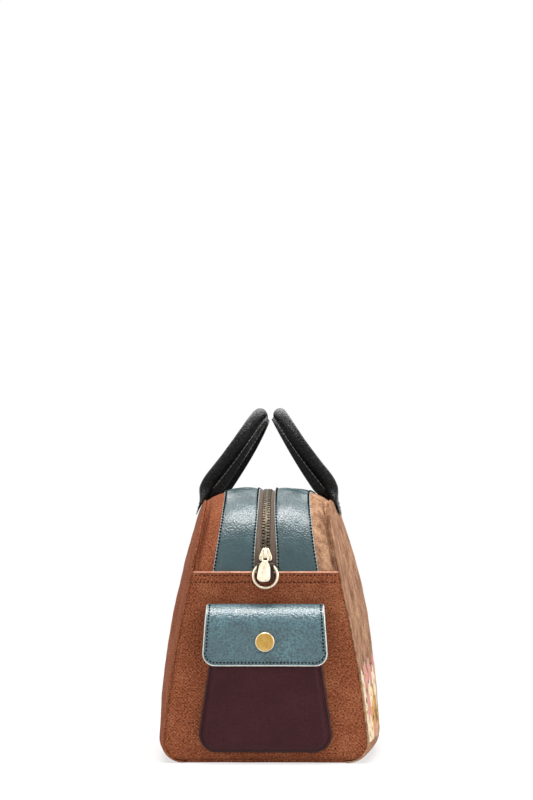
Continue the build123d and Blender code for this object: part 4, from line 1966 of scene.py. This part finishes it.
@dataclass
class RingTab:
    """Leather loop that holds a strap ring to the end of the bag.

    Attributes:
        end: End of the bag.
        form: Shape of the bag.
        bar_z: Height of the ring's bar.
        bar_out: Distance of the bar from the end plane.
        bar_radius: Radius of the loop's middle round the bar.
        foot: Height of the tab's lower end.
        half: Half width of the tab.
        wall: Thickness of one layer.
    """

    end: End
    form: BagForm
    bar_z: float = 163.7
    bar_out: float = 2.2
    bar_radius: float = 1.95
    foot: float = 149.5
    half: float = 7.0
    wall: float = 1.0

    def build(self, finishes: Finishes) -> bpy.types.Object:
        """Make the folded tab and its stitches.

        Args:
            finishes: The bag's finishes.

        Returns:
            The tab.
        """
        down = np.linspace(self.foot, self.bar_z - 2.6, 14)
        turn = np.radians(np.linspace(-70, 250, 26))
        loop_out = self.bar_out + self.bar_radius * np.cos(turn)
        loop_z = self.bar_z + self.bar_radius * np.sin(turn)
        out = np.concatenate([np.full(14, 1.75), loop_out, np.full(14, 0.65)])
        z = np.concatenate([down, loop_z, down[::-1]])
        low = np.clip(4.0 - (z - self.foot), 0, 4.0)
        half = self.half - 4.0 + np.sqrt(16.0 - low**2)
        x = half[:, None] * np.linspace(-1, 1, 17)[None, :]
        y = self.end.value * (self.form.length / 2 + out[:, None] + 0 * x)
        points = np.stack([x, y, z[:, None] + 0 * x], axis=-1)
        word = self.end.name.lower()
        piece = sew(
            f"{word}_ring_loop", [Patch.from_points(points)], [finishes.dark_leather, finishes.black_edge]
        )
        thicken(piece, self.wall, 0.0, 1)
        belongs(piece, "bag", "dark_leather", f"{word}_ring_tab")
        place_x = np.linspace(-self.half + 1.6, self.half - 1.6, 30)
        line = np.stack(
            [place_x, 0 * place_x + self.end.value * (self.form.length / 2 + 2.35), 0 * place_x + 158.4],
            axis=1,
        )
        looks = np.tile([0, float(self.end.value), 0], (30, 1))
        sewn = sew(
            f"{word}_ring_loop_stitches",
            stitches(line, looks, pitch=2.6, radius=0.32),
            [finishes.dark_thread],
        )
        belongs(sewn, "bag", "dark_leather")
        log.info("%s: folded leather loop", piece.name)
        return piece


# Zip slider, puller and strap rings


@dataclass
class Placing:
    """Place and axes of a small metal part.

    Attributes:
        origin: Place of its own zero, in millimetres.
        across: Direction of its width.
        along: Direction of its length.
        out: Direction of its thickness.
    """

    origin: Array
    across: Array
    along: Array
    out: Array

    def put(self, x: Array, t: Array, n: Array) -> Array:
        """Turn widths, lengths and thicknesses into places."""
        return self.origin + x[
            ..., None
        ] * self.across + t[..., None] * self.along + n[..., None] * self.out

    def cast_plate(self, outline: Array, low: float, high: float, edge: float, dish: float = 0.0) -> Patch:
        """Cast plate with rounded edges and, if wanted, a sunk face.

        Args:
            outline: Points of its width and length round its edge.
            low: Thickness where it starts.
            high: Thickness where it ends.
            edge: Radius of its edges.
            dish: Depth of the sunk face inside a raised rim.

        Returns:
            The plate.
        """
        middle = outline.mean(axis=0)
        size = np.linalg.norm(outline - middle, axis=1).mean()
        inner = 1 - edge / size
        rows = [(0.02, high - dish), (0.66, high - dish), (0.74, high), (inner, high)]
        rows += [(1 - 0.3 * edge / size, high - 0.3 * edge), (1.0, high - edge), (1.0, low + edge)]
        rows += [(1 - 0.3 * edge / size, low + 0.3 * edge), (inner, low), (0.02, low)]
        grid = []
        for share, level in rows:
            ring = middle + (outline - middle) * share
            grid.append(self.put(ring[:, 0], ring[:, 1], np.full(len(ring), level)))
        return Patch.from_points(np.stack(grid), closed=True)


def round_outline(profile: Sequence[tuple[float, float]], count: int = 56) -> Array:
    """Smooth closed outline from half widths down a part's length.

    Args:
        profile: Pairs of length and half width, from one end to the other.
        count: Points round the outline.

    Returns:
        Points of width and length.
    """
    right = np.array([(half, length) for length, half in profile])
    line = np.concatenate([right, right[::-1] * np.array([-1, 1])])
    ring = evenly(
        np.concatenate([line, line[:1]]), steps(np.concatenate([line, line[:1]]))[-1] / count
    )[:-1]
    for _ in range(3):
        ring = 0.5 * ring + 0.25 * (np.roll(ring, 1, axis=0) + np.roll(ring, -1, axis=0))
    return ring


@dataclass
class ZipPull:
    """Cast slider with an arched crown, and the flat tag that hangs from it.

    Attributes:
        form: Shape of the bag.
        track: Radius of the zip's upper face round the corner's axis.
        angle: Slider's angle up the corner in degrees.
        pivot_y: Place of the tag's bar along the bag.
        pivot_z: Height of the tag's bar.
        tilt: Degrees that the tag stands off upright.
        sway: Degrees that the tag hangs to one side.
    """

    form: BagForm
    track: float = 70.0
    angle: float = 11.12
    pivot_y: float = -153.608
    pivot_z: float = 171.544
    tilt: float = 14.5
    sway: float = 4.0

    def slider(self, finishes: Finishes) -> bpy.types.Object:
        """Make the slider.

        Args:
            finishes: The bag's finishes.

        Returns:
            The slider.
        """
        turn = math.radians(self.angle)
        out = np.array([0, -math.cos(turn), math.sin(turn)])
        up = np.array([0, math.sin(turn), math.cos(turn)])
        axis = np.array([0, -(self.form.length / 2 - self.form.corner), self.form.hem])
        place = Placing(axis + out * self.track, np.array([1.0, 0, 0]), up, out)
        bulb = round_outline(
            [
                (5.9, 0.4),
                (5.7, 2.2),
                (4.6, 3.3),
                (2.4, 3.9),
                (0.0, 5.0),
                (-2.6, 5.7),
                (-4.4, 5.3),
                (-5.7, 3.9),
                (-5.9, 1.2),
            ]
        )
        patches = [place.cast_plate(bulb, -1.0, 2.1, 0.8)]
        turns = np.linspace(0, 2 * math.pi, 20, endpoint=False)
        for side in (-1, 1):
            boss = np.stack([side * 3.5 + 1.5 * np.cos(turns), -2.9 + 2.0 * np.sin(turns)], axis=1)
            patches.append(place.cast_plate(boss, 1.8, 3.2, 0.9))
        bend = np.linspace(0, math.pi, 24)
        arch_t = np.concatenate([[4.0], 4.0 * np.cos(bend), [-4.0]])
        arch_n = np.concatenate([[1.6], 4.6 + 4.0 * np.sin(bend), [1.6]])
        for width in (-0.55, 0.55):
            patches.append(tube(place.put(0 * arch_t + width, arch_t, arch_n), 0.95, 12))
        piece = sew("zip_slider_casting", patches, [finishes.pale_gold])
        belongs(piece, "zip_slider", "pale_gold", "zip_slider")
        log.info("%s: cast slider with a crown", piece.name)
        return piece

    def puller(self, finishes: Finishes) -> bpy.types.Object:
        """Make the tag.

        Args:
            finishes: The bag's finishes.

        Returns:
            The tag.
        """
        tilt = math.radians(self.tilt)
        sway = math.radians(self.sway)
        down = np.array([0, -math.sin(tilt), -math.cos(tilt)])
        out = np.array([0, -math.cos(tilt), math.sin(tilt)])
        side = np.array([1.0, 0, 0])
        along = down * math.cos(sway) - side * math.sin(sway)
        across = side * math.cos(sway) + down * math.sin(sway)
        place = Placing(np.array([0, self.pivot_y, self.pivot_z]), across, along, out)
        tag = round_outline(
            [
                (3.4, 1.6),
                (5.0, 2.6),
                (7.4, 4.3),
                (9.0, 4.7),
                (13.0, 5.1),
                (18.5, 5.6),
                (20.6, 5.0),
                (21.7, 3.4),
                (22.0, 0.6),
            ]
        )
        turns = np.linspace(0, 2 * math.pi, 28, endpoint=False)
        eye = place.put(2.5 * np.cos(turns), 2.0 + 2.9 * np.sin(turns), 0 * turns)
        patches = [place.cast_plate(tag, -0.75, 0.75, 0.5, 0.22), tube(eye, 0.85, 10, closed=True)]
        piece = sew("zip_puller_tag", patches, [finishes.pale_gold])
        belongs(piece, "zip_puller", "pale_gold", "zip_puller")
        log.info("%s: flat cast tag", piece.name)
        return piece


@dataclass
class StrapRing:
    """Round-wire strap ring with a straight bar held in its leather loop.

    Attributes:
        end: End of the bag.
        form: Shape of the bag.
        middle_z: Height of the ring's middle.
        radius: Radius to the wire's middle.
        bar_z: Height of its bar.
        out: Distance of the ring from the end plane.
        wire: Radius of the wire.
    """

    end: End
    form: BagForm
    middle_z: float = 155.4
    radius: float = 10.1
    bar_z: float = 163.7
    out: float = 2.2
    wire: float = 1.32

    def build(self, finishes: Finishes) -> bpy.types.Object:
        """Make the ring.

        Args:
            finishes: The bag's finishes.

        Returns:
            The ring.
        """
        lift = math.asin((self.bar_z - self.middle_z) / self.radius)
        turn = np.linspace(math.pi - lift, 2 * math.pi + lift, 90)
        x = self.radius * np.cos(turn)
        z = self.middle_z + self.radius * np.sin(turn)
        bar = np.linspace(x[-1], x[0], 14)[1:-1]
        line = np.stack([np.concatenate([x, bar]), np.concatenate([z, 0 * bar + self.bar_z])], axis=1)
        for _ in range(4):
            line = 0.5 * line + 0.25 * (np.roll(line, 1, axis=0) + np.roll(line, -1, axis=0))
        y = np.full(len(line), self.end.value * (self.form.length / 2 + self.out))
        places = np.stack([line[:, 0], y, line[:, 1]], axis=1)
        word = self.end.name.lower()
        piece = sew(f"{word}_ring_wire", [tube(places, self.wire, 16, closed=True)], [finishes.pale_gold])
        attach(piece, f"{word}_ring")
        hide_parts(f"{word}_ring")
        log.info("%s: bent wire ring", piece.name)
        return piece


# Handles


@dataclass
class RolledHandle:
    """Rolled leather handle that flattens into a tab at each foot, with a stitched fin along its inner side.

    Attributes:
        side: Face of the bag.
        panel: Panel that carries the handle.
        radius: Radius of the roll.
        leg: Half distance between its feet.
        shoulder: Half distance between its upper corners.
        bend: Radius of the upper corners.
        root_x: Distance of its swing axis from mid-width.
        root_z: Height of its swing axis.
        rise: Height of its top above the axis.
        top_x: Distance of its top from mid-width.
        tab_half: Half width of a tab.
        tab_wall: Thickness of a tab.
        tab_foot: Height of a tab's lower end.
        tab_corner: Radius of a tab's lower corners.
        bow: Sag of each leg towards mid-width.
        fin_foot: Width of the fin near the feet.
        fin_top: Width of the fin at the top.
        fin_half: Half thickness of the fin.
    """

    side: Side
    panel: FacePanel
    radius: float = 6.0
    leg: float = 56.0
    shoulder: float = 48.0
    bend: float = 38.0
    root_x: float = 56.81
    root_z: float = 230.0
    rise: float = 66.0
    top_x: float = 8.7
    tab_half: float = 14.0
    tab_wall: float = 3.0
    tab_foot: float = 206.7
    tab_corner: float = 7.0
    bow: float = 1.8
    fin_foot: float = 9.5
    fin_top: float = 2.6
    fin_half: float = 1.25

    @property
    def lean(self) -> float:
        """Angle of the handle's plane from upright."""
        return math.atan2(self.root_x - self.top_x, self.rise)

    @property
    def reach(self) -> float:
        """Height of the handle along its own plane."""
        return math.hypot(self.root_x - self.top_x, self.rise)

    def plane_point(self, y: Array, v: Array) -> Array:
        """Places in the handle's leaning plane, on the front of the bag."""
        sag = self.bow * np.sin(np.clip(v / self.reach, 0, 1) * math.pi)
        return np.stack(
            [self.root_x - v * math.sin(self.lean) - sag, y, self.root_z + v * math.cos(self.lean)], axis=-1
        )

    def loop(self) -> Array:
        """Middle line of the roll in its own plane, from foot to foot.

        Returns:
            Rows of the place along the bag and the height up the plane.
        """
        turn = math.atan2(self.reach, self.leg - self.shoulder)
        cut = self.bend * math.tan(turn / 2)
        step = np.array(
            [self.leg - self.shoulder, self.reach]
        ) / math.hypot(self.leg - self.shoulder, self.reach)
        corner = np.array([-self.shoulder, self.reach])
        start = np.array([-self.leg, 0.0])
        foot = start + (corner - step * cut - start) * np.linspace(0, 1, 30)[:, None]
        middle = corner + np.array([cut, -self.bend])
        angle = np.linspace(math.pi / 2 + turn, math.pi / 2, 40)[1:]
        arc = middle + self.bend * np.stack([np.cos(angle), np.sin(angle)], axis=1)
        near = np.concatenate([foot, arc])
        return np.concatenate([near, near[::-1] * np.array([-1, 1])])

    def line(self) -> tuple[Array, Array]:
        """Whole middle line from tab to tab on the front, with outward directions.

        Returns:
            Places and unit directions, evenly spaced.
        """
        tab_z = np.linspace(self.tab_foot, self.root_z - 10, 34)
        tab_y = np.full_like(tab_z, -self.leg)
        skin, look = self.panel.surface(tab_y, tab_z, self.tab_wall / 2 + 0.1)
        sign = np.array([self.side.value, 1, 1])
        skin, look = skin * sign, look * sign
        loop = self.loop()
        kept = loop[(loop[:, 1] > 5)]
        roll = self.plane_point(kept[:, 0], kept[:, 1])
        plane = np.array([math.cos(self.lean), 0, math.sin(self.lean)])
        mirror = np.array([1, -1, 1])
        places = np.concatenate([skin, roll, skin[::-1] * mirror])
        looks = np.concatenate([look, np.tile(plane, (len(roll), 1)), look[::-1] * mirror])
        both = evenly(np.concatenate([places, looks * 1e-3], axis=1), 1.5)
        for _ in range(14):
            both[1:-1] = 0.5 * both[1:-1] + 0.25 * (both[:-2] + both[2:])
        return both[:, :3], unit(both[:, 3:])

    def shape(self, run: Array) -> tuple[Array, Array, Array]:
        """Half width, half thickness and squareness along the middle line.

        Args:
            run: Length from one end of the line.

        Returns:
            The three values at each point.
        """
        near = np.minimum(run, run[-1] - run)
        rolled = ease(near, 8, 25)
        low = np.clip(self.tab_corner - near, 0, self.tab_corner)
        tab = self.tab_half - self.tab_corner + np.sqrt(self.tab_corner**2 - low**2)
        half = tab + (self.radius - tab) * rolled
        skived = self.tab_wall / 2 * (0.2 + 0.8 * ease(near, 0, 14))
        thick = skived + (self.radius - skived) * ease(near, 9, 25)
        return half, thick, 0.42 + 0.58 * rolled

    def build(self, finishes: Finishes) -> list[bpy.types.Object]:
        """Make the rolled leather, its fin and their stitches.

        Args:
            finishes: The bag's finishes.

        Returns:
            The pieces.
        """
        places, looks = self.line()
        run = steps(places)
        half, thick, square = self.shape(run)
        ahead = unit(np.gradient(places, axis=0))
        beside = unit(np.cross(looks, ahead))
        looks = np.cross(ahead, beside)
        turn = np.linspace(0, 2 * math.pi, 32, endpoint=False)
        wide = np.sign(np.cos(turn)) * np.abs(np.cos(turn)) ** square[:, None] * half[:, None]
        tall = np.sign(np.sin(turn)) * np.abs(np.sin(turn)) ** square[:, None] * thick[:, None]
        soft = 1 + 0.018 * waver(
            run[:, None] + 0 * wide, 12 * np.sin(turn)[None, :] + 0 * wide, 22, 171 + self.side.value
        )
        points = places[:, None] + (
            beside[:, None] * wide[..., None] + looks[:, None] * tall[..., None]
        ) * soft[..., None]
        cap = places[:1] + (points[0] - places[0]) * 0.02
        tail = places[-1:] + (points[-1] - places[-1]) * 0.02
        sign = np.array([self.side.value, 1, 1])
        points = np.concatenate([cap[None], points, tail[None]]) * sign
        word = self.side.name.lower()
        nodes = [f"{word}_handle", f"{word}_near_tab", f"{word}_far_tab"]
        piece = sew(
            f"{word}_handle_roll", [Patch.from_points(points, closed=True)], [finishes.black_leather]
        )
        fin, sewn_fin = self.fin(finishes)
        tab_rows: list[Patch] = []
        for mirror in (1, -1):
            tab_rows += self.tab_stitches(places, looks, beside, half, thick, mirror)
        sewn_tabs = sew(f"{word}_handle_tab_stitches", tab_rows, [finishes.grey_thread])
        belongs(sewn_tabs, "bag", "black_leather")
        for made in (piece, fin, sewn_fin):
            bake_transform(made)
        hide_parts(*nodes)
        log.info("%s: rolled leather handle with two tabs", piece.name)
        return [piece, fin, sewn_fin, sewn_tabs]

    def tab_stitches(
        self, places: Array, looks: Array, beside: Array, half: Array, thick: Array, mirror: int
    ) -> list[Patch]:
        """Stitches round one tab.

        Args:
            places: Middle line.
            looks: Outward directions.
            beside: Directions across the tab.
            half: Half widths.
            thick: Half thicknesses.
            mirror: One for the near tab, minus one for the far tab.

        Returns:
            Stitches.
        """
        run = steps(places)
        kept = np.flatnonzero((run > 2.2) & (run < 13))
        edge = np.maximum(half[kept] - 2.6, 0.5)[:, None]
        top = places[kept] + looks[kept] * (thick[kept] - 0.1)[:, None]
        left = top[::-1] - (beside[kept] * edge)[::-1]
        right = top + beside[kept] * edge
        line = evenly(np.concatenate([left, right]), 1.0)
        look = np.tile(looks[kept].mean(axis=0), (len(line), 1))
        flip = np.array([self.side.value, mirror, 1])
        return stitches(line * flip, look * flip, pitch=3.8, radius=0.36)

    def bag_top(self, points: Array) -> Array:
        """Height of the bag's arched top under points near its middle."""
        form = self.panel.form
        return form.height - form.drop(points[:, 0]) - 1.5

    def fin(self, finishes: Finishes) -> tuple[bpy.types.Object, bpy.types.Object]:
        """Make the stitched fin along the roll's inner side.

        Args:
            finishes: The bag's finishes.

        Returns:
            The fin and its stitches.
        """
        line = self.loop()
        low = line[0] - (line[1] - line[0]) / np.linalg.norm(line[1] - line[0]) * 9.0
        loop = evenly(np.concatenate([low[None], line, low[None] * np.array([-1, 1])]), 2.0)
        middle = self.plane_point(loop[:, 0], loop[:, 1])
        under = np.array([-math.cos(self.lean), 0, -math.sin(self.lean)])
        run = steps(loop)
        ends = np.minimum(run, run[-1] - run)
        share = np.clip(loop[:, 1] / self.reach, 0, 1)
        width = (self.fin_foot + (self.fin_top - self.fin_foot) * share) * (0.5 + 0.5 * ease(ends, 0, 22))
        ahead = unit(np.gradient(middle, axis=0))
        across = unit(np.cross(ahead, under))
        outline = [
            (-1, 0.0),
            (-1, 0.5),
            (-1, 0.86),
            (-0.75, 0.97),
            (0, 1.0),
            (0.75, 0.97),
            (1, 0.86),
            (1, 0.5),
            (1, 0.0),
        ]
        columns = []
        for thick, deep in outline:
            reach = self.radius - 1.2 + (width + 1.2) * deep
            column = middle + under * reach[:, None] + across * thick * self.fin_half
            column[:, 2] = np.maximum(column[:, 2], self.bag_top(column) + 0.3)
            columns.append(column)
        sign = np.array([self.side.value, 1, 1])
        grid = np.stack(columns, axis=1) * sign
        word = self.side.name.lower()
        sides = [Patch.from_points(grid[:, :4]), Patch.from_points(grid[:, 5:])]
        edge = Patch.from_points(grid[:, 3:6], finish=1)
        piece = sew(f"{word}_handle_fin", [*sides, edge], [finishes.black_leather, finishes.black_edge])
        rows: list[Patch] = []
        for flank in (-1, 1):
            line = middle + under * (
                self.radius + 0.1 * width
            )[:, None] + across * flank * (self.fin_half + 0.25)
            rows += stitches(
                line[4:-4] * sign, (across * flank)[4:-4] * sign, pitch=4.0, share=0.92, radius=0.4
            )
        return piece, sew(f"{word}_handle_fin_stitches", rows, [finishes.grey_thread])


# Printed flowers


@dataclass
class FlowerPrint:
    """Generic scattered flowers and leaves, screen-printed on the lower front panel.

    Attributes:
        panel: Panel that carries the print.
        count: Number of flowers.
        low: Lowest flower's height.
        high: Highest flower's height.
        lift: Thickness of the ink.
    """

    panel: FacePanel
    count: int = 72
    low: float = 19.0
    high: float = 74.0
    lift: float = 0.16

    def blob(
        self, y: float, z: float, long: float, wide: float, turn: float, ink: int, lift: float
    ) -> Patch:
        """Petal or leaf on the cloth.

        Args:
            y: Place of its foot along the bag.
            z: Height of its foot.
            long: Length from foot to tip.
            wide: Full width.
            turn: Direction in radians.
            ink: Place of its ink in the piece's list.
            lift: Height above the cloth.

        Returns:
            The petal.
        """
        angle = np.linspace(0, 2 * math.pi, 14, endpoint=False)
        rings = np.array([0.02, 0.5, 1.0])[:, None]
        ahead = long * (0.5 + 0.5 * np.cos(angle) * rings)
        across = wide / 2 * np.sin(angle) * rings * (0.75 + 0.25 * np.cos(angle))
        place_y = y + ahead * math.cos(turn) - across * math.sin(turn)
        place_z = z + ahead * math.sin(turn) + across * math.cos(turn)
        half = self.panel.form.length / 2 - 1.6
        points, _ = self.panel.surface(np.clip(place_y, -half, half), np.maximum(place_z, 17.2), lift)
        return Patch.from_points(points, closed=True, finish=ink)

    def build(self, finishes: Finishes) -> bpy.types.Object:
        """Make the print.

        Args:
            finishes: The bag's finishes.

        Returns:
            The print as one thin piece.
        """
        chance = np.random.default_rng(409)
        patches: list[Patch] = []
        half = self.panel.form.length / 2 - 2
        kept: list[tuple[float, float]] = []
        tries = 0
        while len(kept) < self.count and tries < 4000:
            tries += 1
            y = chance.uniform(-half, half)
            z = self.low + (self.high - self.low) * chance.uniform(0, 1) ** 1.5
            if all(math.hypot(y - other[0], z - other[1]) > 18 for other in kept):
                kept.append((y, z))
        for y, z in kept:
            size = chance.uniform(10.0, 17.0)
            start = chance.uniform(0, 2 * math.pi)
            for leaf in range(3):
                turn = start + leaf * 2.2 + chance.uniform(-0.4, 0.4)
                ink = 3 if chance.uniform() < 0.45 else 4
                patches.append(self.blob(y, z, size * 1.55, size * 0.5, turn, ink, self.lift * 0.6))
            ink = int(chance.choice([0, 0, 1, 1, 2]))
            petals = 5 if chance.uniform() < 0.6 else 8
            wide = size * (1.0 if petals == 5 else 0.62)
            for petal in range(petals):
                turn = start + petal * 2 * math.pi / petals
                patches.append(self.blob(y, z, size, wide, turn, ink, self.lift + 0.05 * (petal % 2)))
            heart = size * 0.42
            patches.append(
                self.blob(y - heart / 2, z, heart, heart, 0.0, 2 if ink != 2 else 4, self.lift + 0.14)
            )
        piece = sew("front_panel_flower_print", patches, finishes.inks)
        belongs(piece, "bag", "tan_canvas")
        log.info("%s: %d generic flowers", piece.name, len(kept))
        return piece


# Studio


@dataclass
class Studio:
    """Pale floor, soft lights and the camera.

    Attributes:
        lens: Camera's focal length in millimetres.
        distance: Camera's distance from the middle of the bag in metres.
        height: Camera's height in metres.
        swing: Camera's turn towards the front of the bag in degrees.
        aim: Place across the bag that the camera looks at, in metres.
        shift: Camera's upward shift as a share of the long side.
    """

    lens: float = 108.0
    distance: float = 2.142
    height: float = 0.185
    swing: float = 1.7
    aim: float = -0.0036
    shift: float = 0.175

    def lamp(self, name: str, place: Place, aim: Place, sides: tuple[float, float], power: float) -> None:
        """Add one soft lamp.

        Args:
            name: Lamp's name.
            place: Where it stands, in metres.
            aim: Point that it faces.
            sides: Width and depth of its panel, in metres.
            power: Its power in watts.
        """
        data = bpy.data.lights.new(name, "AREA")
        data.shape = "RECTANGLE"
        data.size, data.size_y = sides
        data.energy = power
        lamp = bpy.data.objects.new(name, data)
        lamp.location = place
        lamp.rotation_euler = (Vector(aim) - Vector(place)).to_track_quat("-Z", "Y").to_euler()
        bpy.context.scene.collection.objects.link(lamp)

    def floor(self) -> None:
        """Add the pale floor, which keeps the bag's shadow."""
        mesh = bpy.data.meshes.new("studio_floor")
        reach = 30.0
        level = -0.0004
        corners = [
            (-reach, -reach, level), (reach, -reach, level), (reach, reach, level), (-reach, reach, level)
        ]
        mesh.from_pydata(corners, [], [(0, 1, 2, 3)])
        material = bpy.data.materials.new("studio_paper_pale")
        material.use_nodes = True
        tree = material.node_tree
        tree.nodes.clear()
        paper = add_node(tree, "ShaderNodeBsdfDiffuse", {"Color": linear("#f2f0ee")})
        glow = add_node(tree, "ShaderNodeEmission", {"Color": (1, 1, 1, 1), "Strength": 1.0})
        path = add_node(tree, "ShaderNodeLightPath")
        seen = add_node(
            tree,
            "ShaderNodeMath",
            {"operation": "MAXIMUM"},
            {0: path.outputs["Is Camera Ray"], 1: path.outputs["Is Glossy Ray"]},
        )
        through = add_node(
            tree,
            "ShaderNodeMath",
            {"operation": "MAXIMUM"},
            {0: seen.outputs[0], 1: path.outputs["Is Transmission Ray"]},
        )
        place = add_node(tree, "ShaderNodeNewGeometry").outputs["Position"]
        away = add_node(tree, "ShaderNodeVectorMath", {"operation": "LENGTH"}, {0: place}).outputs["Value"]
        pale = add_node(
            tree,
            "ShaderNodeMapRange",
            {
                "interpolation_type": "SMOOTHSTEP",
                "From Min": 0.22,
                "From Max": 0.75,
                "To Min": 0.7,
                "To Max": 1.0,
            },
            {"Value": away},
        ).outputs[0]
        weight = add_node(
            tree, "ShaderNodeMath", {"operation": "MULTIPLY"}, {0: through.outputs[0], 1: pale}
        )
        mixed = add_node(
            tree,
            "ShaderNodeMixShader",
            None,
            {0: weight.outputs[0], 1: paper.outputs[0], 2: glow.outputs[0]},
        )
        add_node(tree, "ShaderNodeOutputMaterial", None, {"Surface": mixed.outputs[0]})
        mesh.materials.append(material)
        floor = bpy.data.objects.new("studio_floor", mesh)
        bpy.context.scene.collection.objects.link(floor)

    def world(self) -> None:
        """Set a white backdrop for the camera and a soft grey light for the bag."""
        world = bpy.data.worlds.new("studio_world")
        bpy.context.scene.world = world
        world.use_nodes = True
        tree = world.node_tree
        tree.nodes.clear()
        path = add_node(tree, "ShaderNodeLightPath")
        seen = add_node(
            tree,
            "ShaderNodeMath",
            {"operation": "MAXIMUM"},
            {0: path.outputs["Is Camera Ray"], 1: path.outputs["Is Transmission Ray"]},
        )
        bright = add_node(
            tree,
            "ShaderNodeMath",
            {"operation": "MAXIMUM"},
            {0: seen.outputs[0], 1: path.outputs["Is Glossy Ray"]},
        )
        soft = add_node(tree, "ShaderNodeBackground", {"Color": (1, 1, 1, 1), "Strength": 0.34})
        white = add_node(tree, "ShaderNodeBackground", {"Color": (1, 1, 1, 1), "Strength": 1.0})
        mixed = add_node(
            tree,
            "ShaderNodeMixShader",
            None,
            {0: bright.outputs[0], 1: soft.outputs[0], 2: white.outputs[0]},
        )
        add_node(tree, "ShaderNodeOutputWorld", None, {"Surface": mixed.outputs[0]})

    def camera(self) -> None:
        """Add the camera at the photograph's view, for an image of 533 by 800."""
        data = bpy.data.cameras.new("photo_camera")
        data.lens = self.lens
        data.sensor_width = 36.0
        data.sensor_fit = "AUTO"
        data.shift_y = self.shift
        turn = math.radians(self.swing)
        camera = bpy.data.objects.new("photo_camera", data)
        camera.location = (
            self.aim + self.distance * math.sin(turn), -self.distance * math.cos(turn), self.height
        )
        camera.rotation_euler = (math.pi / 2, 0, turn)
        bpy.context.scene.collection.objects.link(camera)
        bpy.context.scene.camera = camera

    def build(self) -> None:
        """Set up the floor, lights and camera."""
        bpy.context.scene.view_settings.view_transform = "Standard"
        self.camera()
        self.floor()
        self.world()
        self.lamp("key_above", (0.0, -0.26, 1.45), (0, -0.13, 0.2), (1.15, 0.36), 25.0)
        self.lamp("rim_behind", (0.0, 0.95, 1.1), (0, -0.1, 0.22), (1.4, 0.6), 11.0)
        self.lamp("fill_left", (-1.4, -1.6, 0.7), (0, 0, 0.12), (1.2, 1.2), 6.5)
        self.lamp("fill_right", (1.5, -1.3, 0.7), (0, 0, 0.12), (1.2, 1.2), 14.0)
        log.info("studio: floor, lights and camera")


def dress_metal(nodes: dict, finishes: Finishes) -> None:
    """Give the rigid solids their metal and board finishes.

    Args:
        nodes: Solids by name.
        finishes: The bag's finishes.
    """
    # A ring of pale metal round the brass cap's edge is a painted highlight on the cap's rim.
    low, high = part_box("snap_cap")
    turn = np.linspace(0, 2 * math.pi, 48, endpoint=False)
    radius = (high[0] - low[0]) / MM / 2 - 0.35
    level = np.full_like(turn, low[1] / MM + 0.75)
    middle = (high[2] + low[2]) / MM / 2
    line = np.stack([radius * np.cos(turn), level, middle + radius * np.sin(turn)], axis=1)
    rim = sew("snap_cap_highlight_rim", [tube(line, 0.6, 10, closed=True)], [finishes.pale_gold])
    belongs(rim, "pocket_flap", "yellow_brass")
    plans = {
        "front_zip_teeth": finishes.antique_brass,
        "back_zip_teeth": finishes.antique_brass,
        "zip_stops": finishes.antique_brass,
        "snap_cap": finishes.yellow_brass,
        "snap_socket": finishes.yellow_brass,
        "snap_stud": finishes.yellow_brass,
        "base_board": finishes.greyboard,
    }
    for name, finish in plans.items():
        slots = nodes[name].material_slots
        for slot in slots:
            slot.material = finish
        log.info("%s: solid kept, finish %s", name, finish.name)


def main() -> None:
    """Build the bag piece by piece."""
    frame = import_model()
    finishes = Finishes()
    form = BagForm()
    front = FacePanel(Side.FRONT, form)
    back = FacePanel(Side.BACK, form)
    Studio().build()
    front.build(finishes.tan_canvas, "front_panel", "tan_canvas")
    back.build(finishes.rust_canvas, "back_panel", "rust_canvas")
    for end in End:
        EndGusset(end, form).build(
            finishes.rust_canvas, finishes.hem_highlight_canvas, finishes.hem_thread, f"{end.name.lower()}_gusset"
        )
        RingTab(end, form).build(finishes)
        StrapRing(end, form).build(finishes)
    BasePanel(form).build(finishes.rust_canvas, finishes.rust_thread)
    ZipGusset(ArchLine(form)).build(finishes)
    pull = ZipPull(form)
    pull.slider(finishes)
    pull.puller(finishes)
    pocket = EndPocket(form)
    pocket.pouch(finishes)
    pocket.flap(finishes)
    RolledHandle(Side.FRONT, front).build(finishes)
    RolledHandle(Side.BACK, back).build(finishes)
    FlowerPrint(front).build(finishes)
    dress_metal(frame["nodes"], finishes)


if __name__ == "__main__":
    logging.basicConfig(level=logging.INFO, format="%(message)s")
    main()
